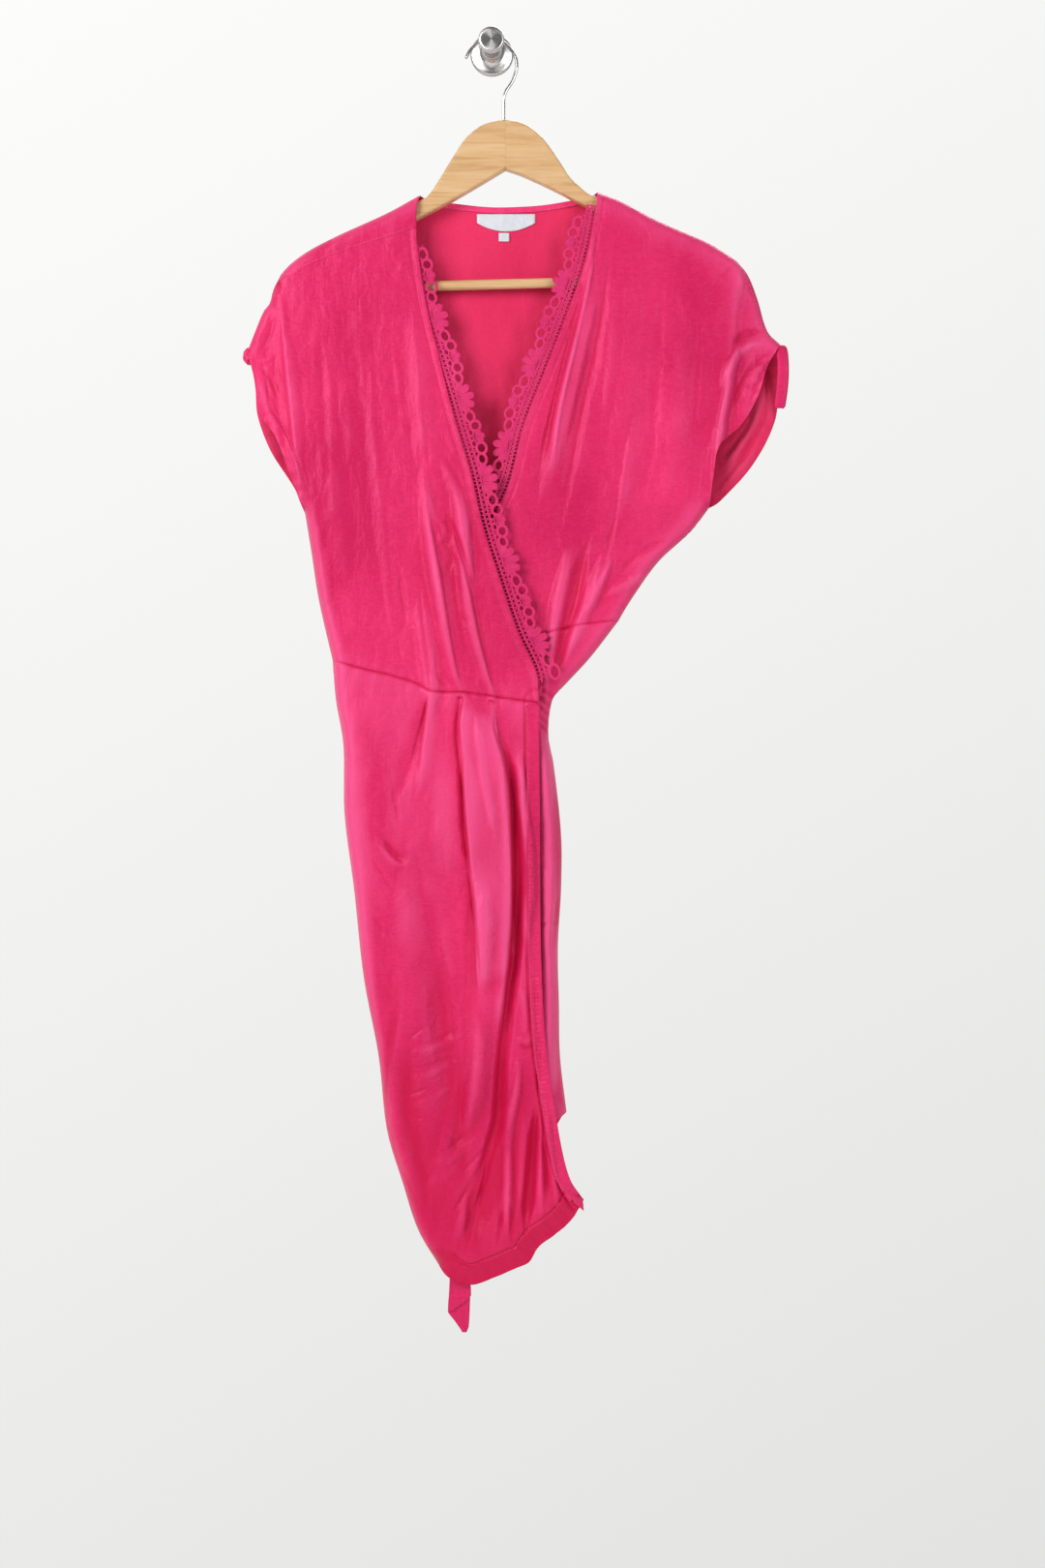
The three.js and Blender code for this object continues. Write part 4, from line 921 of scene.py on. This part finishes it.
def skirt_back():
    return patch(
        top=curve(WAIST_BACK),
        bottom=curve(HEM_BACK),
        left=curve(SIDE_LEFT_SKIRT),
        right=curve(SIDE_RIGHT_SKIRT),
        columns=back_columns(110),
        rows=shares(170, 550, seam_at_start=True),
        depth=depth_back)


def over_skirt_painted_shade(grid):
    """Painted shade, deeper towards the hem and on its band, a painted highlight near the waist, and painted
    shade and highlight from their table.
    """
    x, z = grid[..., 0], grid[..., 2]
    on_band = smooth(HEM_BAND + 1, HEM_BAND - 1, nearest(HEM_OVER_LINE, x, z)[0])
    return mix(-0.26, 0.75, smooth(-720, -1130, z)) + fold_height(PAINTED_LIGHT_OVER, x, z) + 0.5 * on_band


def front_panel(name, grid, replaces, shade=0):
    return shell(name, grid, [satin, satin_inside], replaces=replaces, slot="satin", shade=shade)


def back_panel(name, grid, replaces):
    return shell(name, grid, [satin_inside, satin], replaces=replaces, slot="satin_inside")


under_front_grid = bodice_under()
over_skirt_grid = skirt_over()
over_front = front_panel("front_over", bodice_over(), "bodice_over")
shoulder = front_panel("shoulder_left", shoulder_left(), "bodice_back_shoulder_left")
# Painted highlight: the right sleeve's colour made paler
under_front = front_panel("front_under", under_front_grid, "bodice_under",
                          shade=-0.3 * smooth(218, 240, under_front_grid[..., 0]))
# Painted shade and highlight on the over skirt's colour
over_skirt = front_panel("skirt_front_over", over_skirt_grid, "skirt_over",
                         shade=over_skirt_painted_shade(over_skirt_grid))
# Painted highlight: the under skirt's colour made a little paler
under_skirt = front_panel("skirt_front_under", skirt_under(), "skirt_under", shade=-0.12)
back = back_panel("back_bodice", bodice_back(), "bodice_back")
back_skirt = back_panel("back_skirt", skirt_back(), "skirt_back")


# Strips that lie along an edge

def strip(line, side, offsets, depth, lift, count, first=0.0, last=1.0):
    """A grid beside a line: rows along the line, and columns at the given distances to one side."""
    middle, across = beside(curve(line), np.linspace(first, last, count))
    flat = middle[:, None] + side * across[:, None] * np.asarray(offsets, float)[None, :, None]
    x, z = flat[..., 0], flat[..., 1]
    return np.stack([x, -depth(x, z) - lift, z], axis=-1)


def placket_strip():
    """The stitched band, with fine crosswise puckers down its length."""
    grid = strip(OVERLAP_EDGE, -1, np.linspace(-0.3, PLACKET_WIDTH, 10), depth_over, 1.15, 560, 0.004, 0.985)
    along = np.linspace(0, PLACKET_LENGTH, 560)[:, None]
    waves = np.sin(2 * math.pi * along / PUCKER_PITCH + 1.2 * np.sin(along / 9))
    grid[..., 1] -= 0.34 * waves * np.sin(np.linspace(0, math.pi, 10))[None]
    return grid[:, ::-1]


def hem_corner():
    """The hem's corner, folded over at the end of the band."""
    u = np.linspace(0, 1, 14)[None]
    v = np.linspace(0, 1, 14)[:, None]
    x = 73.5 + 11.5 * u + 3.4 * v - 2.5 * u * v
    z = -1072.5 - 6.5 * u - 9.5 * v - 1.5 * u * v
    rise = 2.4 * np.sin(math.pi * u) ** 0.6 * np.sin(math.pi * (0.08 + 0.84 * v)) ** 0.5
    return np.stack([x, -(depth_over(x, z) + 1.3 + rise * 0.6 - 0.8 * u), z], axis=-1)


def neck_binding():
    offsets = [-0.2, -1.6, -3.2, -4.6, -5.8]
    return strip(NECK_BACK, 1, offsets, depth_back, 0.9, 90, 0.03, 0.97).transpose(1, 0, 2)


def inner_tab(left, right, top, bottom, sag, count=24):
    """A small cloth rectangle sewn to the inside of the back, with a sagging lower edge."""
    u = np.linspace(0, 1, count)[None, :]
    v = np.linspace(0, 1, 12)[:, None]
    x = mix(left, right, u) + 0 * v
    z = mix(top + 0 * u, bottom - sag * 4 * u * (1 - u), v)
    curl = 0.5 * v * v * (1 - 4 * u * (1 - u)) + 0.12 * np.sin(9 * u) * v
    return np.stack([x, -depth_back(x, z) - 1.1 - curl, z], axis=-1)


def thin(name, grid, material, replaces, slot="satin", half=0.25):
    """A small cloth piece of one material; half is half of its thickness."""
    return shell(name, grid, [material], replaces=replaces, slot=slot, inner=-half, outer=half)


placket = thin("placket", placket_strip(), satin, "placket_over", half=CLOTH / 2)
corner = thin("hem_corner", hem_corner(), satin, None, half=CLOTH / 2)
binding = thin("neck_binding", neck_binding(), satin_binding_painted_sheen, "neck_binding_back", half=0.3)
label = thin("label", inner_tab(-14, 41, -154.6, -163, 8), label_white, "neck_label", slot="label_cloth")
small_label = thin("label_small", inner_tab(6.5, 16.5, -172.4, -180.4, 0, 10), label_white, "size_tab",
                   slot="label_cloth")


# Lace

# One repeat of the lace. Petals, columns: distance along, distance from the sewn edge, turn in degrees,
# length, width
PETALS = [
    [16.2, 9.6, -70, 13, 6.8], [18, 9.4, -36, 15, 7], [20, 9.2, -2, 15.4, 7.2], [22, 9.4, 32, 15, 7],
    [23.8, 9.6, 66, 13, 6.8], [59, 13.4, -34, 8.6, 5.2], [60, 13.4, 0, 9.6, 5.4], [61, 13.4, 34, 8.6, 5.2],
]
# Rings, columns: distance along, distance from the sewn edge, half length, half width, width of the cord
RINGS = [
    [39.5, 14.4, 5.6, 4.2, 2.9], [49.6, 16.8, 5.0, 4.6, 3.0], [71, 16.4, 5.2, 4.5, 3.0],
    [81, 14.0, 5.2, 3.9, 2.9], [44.5, 10.4, 2.4, 1.9, 1.6], [54.5, 11.0, 3.2, 2.3, 1.8],
    [65.5, 11.0, 3.2, 2.3, 1.8], [75.5, 10.4, 2.6, 1.9, 1.6], [33.8, 10.2, 2.6, 1.9, 1.6],
    [6.8, 10.4, 2.6, 1.9, 1.6], [60, 10.4, 1.9, 1.7, 1.5],
]
# Threads that tie the motifs together, columns: along and across of each end
TIES = [
    [35, 13.6, 30.5, 16], [53.4, 16.4, 56, 18], [66.4, 16.4, 64, 18], [85.4, 13.4, 88.6, 14],
    [44, 15, 45, 12], [39.5, 10.2, 39.5, 8.4], [49, 12.2, 49, 8.4], [71, 12, 71, 8.4],
    [80.5, 10.2, 80.5, 8.4], [20, 9.6, 20, 8.0], [15, 9.6, 14, 8.0], [25, 9.6, 26, 8.0],
    [10, 9.6, 11, 8.0], [29.5, 9.6, 29.5, 8.0],
]
# Cords that run the whole length, columns: distance from the sewn edge, width
RAILS = [[0.0, 1.7], [3.8, 1.6], [8.3, 1.5]]
LADDER_STEP = 3.6
EYELET_STEP = 4.6
EYELET_RADIUS = 1.75
EYELET_FROM_EDGE = 6.05
PETAL_ROWS = 9
PETAL_COLUMNS = 11
PETAL_FACES = shell_faces(PETAL_ROWS, PETAL_COLUMNS)[0]


def lace(name, line, side, depth, replaces, first=0.0, last=1.0, tucked=0.0):
    """Lace along an edge: a ladder of eyelets where it is sewn on, then rings and fans of ribbed petals.

    tucked is how much of its width the front covers at the top.
    """
    at = curve(line)
    length = at.length * (last - first)
    heap = Heap()
    known_shares = np.linspace(0, 1, 400)
    known_depths = depth(*at(known_shares).T)

    def place(s, t, lift=0.0):
        s, t, lift = np.broadcast_arrays(np.asarray(s, float), np.asarray(t, float), lift)
        share = np.clip(first + s.ravel() / at.length, 0, 1)
        middle, across = beside(at, share, 0.006)
        under = 1 - smooth(0, 0.4, share)
        flat = middle + side * across * (t.ravel() - tucked * under)[:, None]
        base = np.interp(share, known_shares, known_depths) - 1.2 - 0.1 * tucked * under
        wave = 0.35 * np.sin(s.ravel() / 9.0) * np.maximum(0, t.ravel()) / LACE_WIDTH
        return np.stack([flat[:, 0], -(base + wave + lift.ravel()), flat[:, 1]], axis=-1).reshape(*s.shape, 3)

    for across, width in RAILS:
        s = np.arange(0, length, 2.0)
        heap.add(*sweep(place(s, across + 0.2 * np.sin(s * 1.7)), width, 1.0, 6))
    for s in np.arange(1, length - 1, LADDER_STEP):
        heap.add(*sweep(place(np.linspace(s, s + 0.8, 3), np.linspace(0, 3.8, 3)), 1.2, 0.8, 5))
    turn = np.linspace(0, 2 * math.pi, 12, endpoint=False)
    for s in np.arange(2.4, length - 2, EYELET_STEP):
        eyelet = place(s + EYELET_RADIUS * np.cos(turn), EYELET_FROM_EDGE + EYELET_RADIUS * np.sin(turn))
        heap.add(*sweep(eyelet, 1.25, 0.9, 5, closed=True))
    turn = np.linspace(0, 2 * math.pi, 20, endpoint=False)
    for start in np.arange(-20, length, LACE_REPEAT):
        for s, t, half_long, half_wide, cord in RINGS:
            if 3 < start + s < length - 3:
                ring = place(start + s + half_long * np.cos(turn), t + half_wide * np.sin(turn))
                heap.add(*sweep(ring, cord, 1.4, 7, closed=True))
        for s, t, s2, t2 in TIES:
            if 2 < start + min(s, s2) and start + max(s, s2) < length - 2:
                heap.add(*sweep(place(start + np.linspace(s, s2, 4), np.linspace(t, t2, 4)), 1.1, 0.8, 6))
        for s, t, degrees, long, wide in PETALS:
            if 6 < start + s < length - 6:
                petal(heap, place, start + s, t, math.radians(degrees), long, wide)
    return heap.piece(name, [lace_pink], replaces=replaces, slot="lace")


def petal(heap, place, s, t, angle, long, wide):
    """A ribbed almond, thicker down each of its ribs."""
    v = np.linspace(0, 1, PETAL_ROWS)[:, None]
    u = np.linspace(-1, 1, PETAL_COLUMNS)[None, :]
    rounded = np.sqrt(np.clip(1 - ((v - 0.66) / 0.35) ** 2, 0.04, 1) ** (v > 0.66))
    along = v * long
    across = u * wide / 2 * mix(0.36, 1, smooth(0, 0.6, v)) * rounded
    s_at = s + along * math.sin(angle) + across * math.cos(angle)
    t_at = t + along * math.cos(angle) - across * math.sin(angle)
    thick = 0.2 + np.sqrt(np.maximum(0, 1 - u * u)) * (0.5 + 0.3 * np.cos(5 * math.pi * u)) + 0 * v
    layers = [place(s_at, t_at, lift).reshape(-1, 3) for lift in (thick, -0.4)]
    heap.add(np.concatenate(layers), PETAL_FACES)


lace_over = lace("lace_trim_over", NECK_OVER, 1, depth_over, "lace_over", 0.012, 0.96, 11)
lace_under = lace("lace_trim_under", NECK_UNDER, -1, depth_under, "lace_under", 0.045, 1.0)


# The tie, its end folded over below the hem

# Columns: z, left side x and right side x, down to the fold and from there to the point
TIE_ABOVE_FOLD = [
    [-1150, -39, -21], [-1164, -39.6, -19.4], [-1172, -40, -19.2], [-1178, -40.6, -26], [-1186, -40.8, -37],
]
TIE_POINTED = [
    [-1168, -30, -20], [-1176, -38, -20.2], [-1188, -41, -20.6], [-1196, -34.6, -21], [-1202, -30.4, -21.6],
    [-1206.6, -27.4, -23.6],
]


def tie_end(rows, depth, count):
    """A flat stretch of the tie between its two sides."""
    heights, left, right = np.array(rows, float).T
    z = np.linspace(heights[0], heights[-1], count)[:, None]
    low, high = np.interp(-z, -heights, left), np.interp(-z, -heights, right)
    side = np.linspace(0, 1, 13)[None]
    x = mix(low, high, side)
    y = -(depth + 0.9 * np.sin(math.pi * side) + 0.25 * np.sin(z / 5) + 0 * x)
    return np.stack([x, y, z + 0 * x], axis=-1)


def tie_grid():
    """The tie from the waist seam down behind the over skirt, swaying a little."""
    z = np.linspace(TIE_TOP, TIE_FOLD, 160)[:, None]
    sway = 3 * np.sin(z / 90) * smooth(-600, -700, z)
    middle = TIE_X + sway * smooth(-1150, -1100, z) + 1.2 * smooth(-1100, -1150, z)
    sewn = depth_under(np.array([TIE_X + 2.0]), np.array([float(TIE_TOP)]))[0] - 1.56
    depth = mix(sewn, 27, smooth(-590, -650, z)) + 0.6 * np.sin(z / 23)
    side = np.linspace(-1, 1, 9)[None]
    y = -(depth - (1 - side ** 2) + 0.3 * np.sin(z / 11) * side)
    return np.stack([middle + side * TIE_WIDTH / 2, y, z + 0 * side], axis=-1)


tie = thin("tie", tie_grid(), satin, "tie_inner", half=CLOTH / 2)
tie_turned = thin("tie_turned", tie_end(TIE_ABOVE_FOLD, 29.2, 30), satin, None, half=CLOTH / 2)
tie_point = thin("tie_point", tie_end(TIE_POINTED, 26.6, 40), satin, None, half=CLOTH / 2)


# Small parts of the cuffs

# The strap of the right cuff, columns: x, z and depth down its middle
TAB_RIGHT = [[271, -281.5, 27.4], [272.6, -290, 29], [273.2, -306, 29.6], [272.4, -322, 28.2], [270, -340, 26]]
TAB_WIDTH = 10.4
KNOT_CENTRE = [-228.4, -25.6, -291]
KNOT_RADII = [5.2, 6.2, 8.2]


def strap():
    x, z, depth = curve(TAB_RIGHT)(np.linspace(0, 1, 30)).T[..., None]
    side = np.linspace(-1, 1, 9)[None]
    rounded = np.sqrt(np.clip(np.sin(np.linspace(0.08, math.pi - 0.08, 30)) * 6, 0, 1))[:, None]
    y = -depth - 1.2 * (1 - side ** 2) + 0.15 * np.sin(z * 1.3)
    return np.stack([x + side * TAB_WIDTH / 2 * rounded, y, z + 0 * side], axis=-1)


def knot():
    """A tight knot: a swollen ball with soft turns."""
    v = np.linspace(0, math.pi, 20)[1:-1, None]
    u = np.linspace(0, 2 * math.pi, 36, endpoint=False)[None]
    swell = 1 - 0.12 * np.sin(2 * u + 3 * v) ** 2 + 0.05 * np.sin(3 * v - u)
    ball = np.stack([np.sin(v) * np.cos(u), np.sin(v) * np.sin(u), np.cos(v) + 0 * u], axis=-1)
    points = KNOT_CENTRE + np.array(KNOT_RADII) * swell[..., None] * ball
    faces = tube_faces(*swell.shape)
    quads = [face[1:] + face[:1] for face in faces[:-2]]
    piece("cuff_knot_left", points.reshape(-1, 3), quads + faces[-2:], [satin],
          replaces="cuff_tab_left", slot="satin")


thin("cuff_tab_right_strap", strap(), satin, "cuff_tab_right", half=0.7)
knot()


# Stitches

def stitches(name, runs):
    """Rows of short thread stitches, each run: line, side, distance, depth, lift, first share, last share."""
    heap = Heap()
    for line, side, distance, depth, lift, first, last in runs:
        at = curve(line)
        starts = np.arange(first * at.length, last * at.length, STITCH_PITCH)
        share = np.minimum(1, ((starts[:, None] + np.linspace(0, STITCH_LENGTH, 4)) / at.length).ravel())
        middle, across = beside(at, share)
        x, z = (middle + across * side * distance).T
        out = depth(x, z) + lift + np.tile([-0.15, 0.1, 0.1, -0.15], len(starts))
        for path in np.stack([x, -out, z], axis=-1).reshape(-1, 4, 3):
            heap.add(*sweep(path, STITCH_WIDTH, STITCH_WIDTH, 5))
    return heap.piece(name, [thread_pink], slot="satin")


over_stitches = stitches("stitches_over", [
    (NECK_OVER, -1, NECK_BAND, depth_over, 0.5, 0.03, 0.97),
    (HEM_OVER, 1, HEM_BAND, depth_over, 0.5, 0.04, 0.93),
    (OVERLAP_EDGE, -1, PLACKET_WIDTH - 1, depth_over, 1.75, 0.01, 0.96),
    (SEAM_LEFT, -1, 2.0, depth_over, 0.5, 0.02, 0.94),
])
under_stitches = stitches("stitches_under", [
    (NECK_UNDER, -1, NECK_BAND, depth_under, 0.5, 0.04, 0.99),
    (HEM_UNDER, 1, HEM_BAND, depth_under, 0.5, 0.55, 0.97),
    (OVERARM_RIGHT, -1, 3.0, depth_under, 0.5, 0.05, 0.9),
])
stitches("stitches_cuffs", [
    (CUFF_LEFT_FRONT, 1, CUFF_BAND, depth_over, 0.5, 0.12, 0.95),
    (CUFF_RIGHT_FRONT, -1, CUFF_BAND, depth_under, 0.5, 0.12, 0.95),
])
stitches("stitches_neck_back", [
    (NECK_BACK, 1, -5.0, depth_back, 1.35, 0.05, 0.95),
])


# The hanger

# Upper edge, end and lower edge of each arm, columns x and z, from the middle of the hanger out to its end
ARM_TOP_LEFT = [
    [12.96, -70], [4, -71], [-10, -75.5], [-25, -88], [-37, -106], [-48, -124], [-55, -135], [-61, -142.4],
    [-70, -146.5], [-98, -160], [-144, -181], [-171, -195], [-182, -202.5],
]
ARM_END_LEFT = [[-186, -208], [-191, -215], [-192, -228], [-190, -234.6], [-185.4, -234.6], [-184, -222]]
ARM_LOW_LEFT = [[-160, -210], [-120, -189], [-70, -163], [-36, -145], [0, -124], [12.96, -116]]
ARM_TOP_RIGHT = [
    [13.04, -70], [22, -71], [34, -75.5], [49, -88], [62, -106], [74, -124], [84, -133.4], [92, -139.6],
    [102, -142.4], [120, -148.4], [152, -165], [179, -177], [204, -188.4], [219, -197.4],
]
ARM_END_RIGHT = [[223, -202], [224, -214], [222, -224.6], [215.4, -224.6], [214.4, -212]]
ARM_LOW_RIGHT = [[190, -198], [150, -178], [90, -151.5], [60, -136], [30, -122], [13.04, -116]]
BAR_ENDS = [[-183.6, -25, -228], [213.8, -25, -218]]
BAR_WIDTH = 9.2
# The wire hook, columns x and z, from the wood up and over to its tip
WIRE = [
    [11.3, -69.6], [11.3, -58], [11.6, -48], [14, -41], [19, -33.5], [22.6, -24.4], [23.6, -16], [21.6, -8],
    [16.5, -1], [9.5, 5], [0, 8], [-8, 6.6], [-14.5, 2.2], [-20.5, -4], [-24.5, -11.6],
]
# The wall hook is turned about Y, columns radius and depth, from the knob's face back to the wall
HOOK_PROFILE = [
    [0.01, 47.6], [5, 47.5], [9.6, 47.3], [11.3, 46.8], [12.1, 45.6], [12.3, 44], [12.2, 42.6], [11.5, 41.2],
    [9.4, 38.6], [7.2, 35.6], [6.2, 32.5], [6, 28], [6, 19], [6.3, 15], [7.3, 11.6], [9.8, 8], [13.6, 5.8],
    [17.4, 4.5], [19.7, 3.4], [20.5, 2.2], [20.6, 1.2], [20.3, 0.2], [19.6, 0.01], [0.01, 0.01],
]


def arm(name, top, end, low, material, replaces):
    """A flat board with rounded edges, squarely cut where the two halves of the hanger meet."""
    outline = np.array(sampled(top, 70) + sampled(end, 16) + sampled(low, 50))
    ahead = np.roll(outline, -1, axis=0) - np.roll(outline, 1, axis=0)
    ahead /= np.linalg.norm(ahead, axis=1, keepdims=True)
    inward = np.stack([-ahead[:, 1], ahead[:, 0]], axis=1)
    x, z = outline.T
    if np.sum(x * np.roll(z, -1) - np.roll(x, -1) * z) < 0:
        inward = -inward
    from_joint = np.abs(x - HANGER_MIDDLE)
    inward[from_joint < 0.2] = [[0, -1], [0, 1]]
    inset = HANGER_BEVEL * inward * mix(0.75, 1, smooth(0, 2.5, from_joint))[:, None]
    turn = np.radians([0, 15, 30, 45, 60, 75, 90])
    lifts = HANGER_THICKNESS / 2 - HANGER_BEVEL * (1 - np.cos(turn))
    front_levels = list(zip(1 - np.sin(turn), lifts))
    levels = [(share, -lift) for share, lift in front_levels] + front_levels[::-1]
    points = []
    for share, lift in levels:
        flat = outline + inset * share
        points.append(np.stack([flat[:, 0], np.full(len(flat), lift - SEAM_DEPTH), flat[:, 1]], -1))
    faces = tube_faces(len(levels), len(outline), reverse=True)
    made = piece(name, np.concatenate(points), faces, [material], replaces=replaces, slot="beech")
    for polygon in made.data.polygons[-2:]:
        polygon.use_smooth = False


def bar():
    path = mix(*np.array(BAR_ENDS, float), np.linspace(0, 1, 60)[:, None])
    piece("bar", *sweep(path, BAR_WIDTH, BAR_WIDTH, 32), [wood_bar], replaces="hanger_bar", slot="beech")


def wire_hook():
    """The bent wire, rounded at its tip."""
    flat = curve(WIRE)(np.linspace(0, 1, 160))
    path = np.stack([flat[:, 0], np.full(len(flat), -float(SEAM_DEPTH)), flat[:, 1]], -1)
    from_tip = np.minimum(1, np.hypot(*(flat - flat[-1]).T) / WIRE_RADIUS)
    width = np.sqrt(np.clip(1 - (1 - from_tip) ** 2, 0.02, 1)) * 2 * WIRE_RADIUS
    piece("wire_hook", *sweep(path, width, width, 20), [steel_wire], replaces="hanger_hook", slot="steel")


def wall_hook():
    turn = np.linspace(0, 2 * math.pi, 96, endpoint=False)
    radius, depth = curve(HOOK_PROFILE)(np.linspace(0, 1, 110)).T[..., None]
    points = np.stack([radius * np.cos(turn), -depth + 0 * turn, radius * np.sin(turn)], -1)
    piece("wall_hook_turned", points.reshape(-1, 3), tube_faces(110, 96, reverse=True), [steel_brushed],
          replaces="wall_hook", slot="steel")


arm("arm_left", ARM_TOP_LEFT, ARM_END_LEFT, ARM_LOW_LEFT, wood_left, "hanger_arm_left")
arm("arm_right", ARM_TOP_RIGHT, ARM_END_RIGHT, ARM_LOW_RIGHT, wood_right, "hanger_arm_right")
bar()
wire_hook()
wall_hook()


# Floor, light and camera, in metres

FLOOR_Z = -1.5
FLOOR_CORNERS = [(-2.2, -2.6), (2.2, -2.6), (2.2, 0.15), (-2.2, 0.15)]
# Lights, columns: name, place, target, size, power, tint
LIGHTS = [
    ("key", (-1.5, -1.8, 0.3), (0.0, 0, -0.55), 1.3, 46, (1, 0.985, 0.965)),
    ("fill", (1.7, -2.0, 0), (0.05, 0, -0.5), 1.2, 25, (0.97, 0.985, 1)),
    ("behind", (0.6, 1.7, 1.7), (0.0, 0, -0.6), 1.4, 34, (1, 1, 1)),
]
CAMERA_PLACE = (0.029, -2.07, -0.6924)


def floor():
    mesh = bpy.data.meshes.new("floor")
    mesh.from_pydata([(x, y, FLOOR_Z) for x, y in FLOOR_CORNERS], [], [(0, 1, 2, 3)])
    material, tree, shader = new_material("floor_pale")
    shades = [(0.3, colour(0.80, 0.80, 0.785)), (0.7, colour(0.83, 0.83, 0.82))]
    fill(tree, shader, {"Roughness": 0.8, "Base Color": ramp(tree, noise(tree, (3, 3, 3), 3), shades)})
    mesh.materials.append(material)
    new_object("floor", mesh)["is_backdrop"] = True


def studio():
    """A pale surround, darker behind the viewer and a little brighter above and to the left."""
    world = bpy.data.worlds.new("studio")
    bpy.context.scene.world = world
    world.use_nodes = True
    tree = world.node_tree
    facing = add_node(tree, "TexCoord").outputs["Generated"]
    parts = add_node(tree, "SeparateXYZ", {"Vector": facing})
    towards_wall = span(tree, parts.outputs["Y"], 0, 1, -0.3, 0.6)
    fall = add_node(tree, "VectorMath", {0: facing, 1: (-0.15, 0, 0.27)}, operation="DOT_PRODUCT")
    strength = add_node(tree, "Math", {0: fall.outputs["Value"], 1: 1})
    shades = [(0, colour(0.17, 0.17, 0.17)), (1, colour(0.868, 0.872, 0.862))]
    fill(tree, tree.nodes["Background"], {
        "Color": ramp(tree, towards_wall, shades), "Strength": strength.outputs["Value"]})


def area_light(name, place, target, size, power, tint):
    light = bpy.data.lights.new(name, "AREA")
    light.size = size
    light.energy = power
    light.color = tint
    obj = new_object(name, light)
    obj.location = place
    obj.rotation_euler = (Vector(target) - Vector(place)).to_track_quat("-Z", "Y").to_euler()


def photo_camera():
    data = bpy.data.cameras.new("camera")
    data.sensor_fit = "VERTICAL"
    data.sensor_height = 36
    data.lens = 50
    camera = new_object("camera", data)
    camera.location = CAMERA_PLACE
    camera.rotation_euler = (math.pi / 2, 0, 0)
    bpy.context.scene.camera = camera


floor()
studio()
for light_row in LIGHTS:
    area_light(*light_row)
photo_camera()
bpy.context.scene.view_settings.view_transform = "Standard"

box_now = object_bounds()
{"cad": [list(corner) for corner in cad_box], "visual": [list(corner) for corner in box_now]}
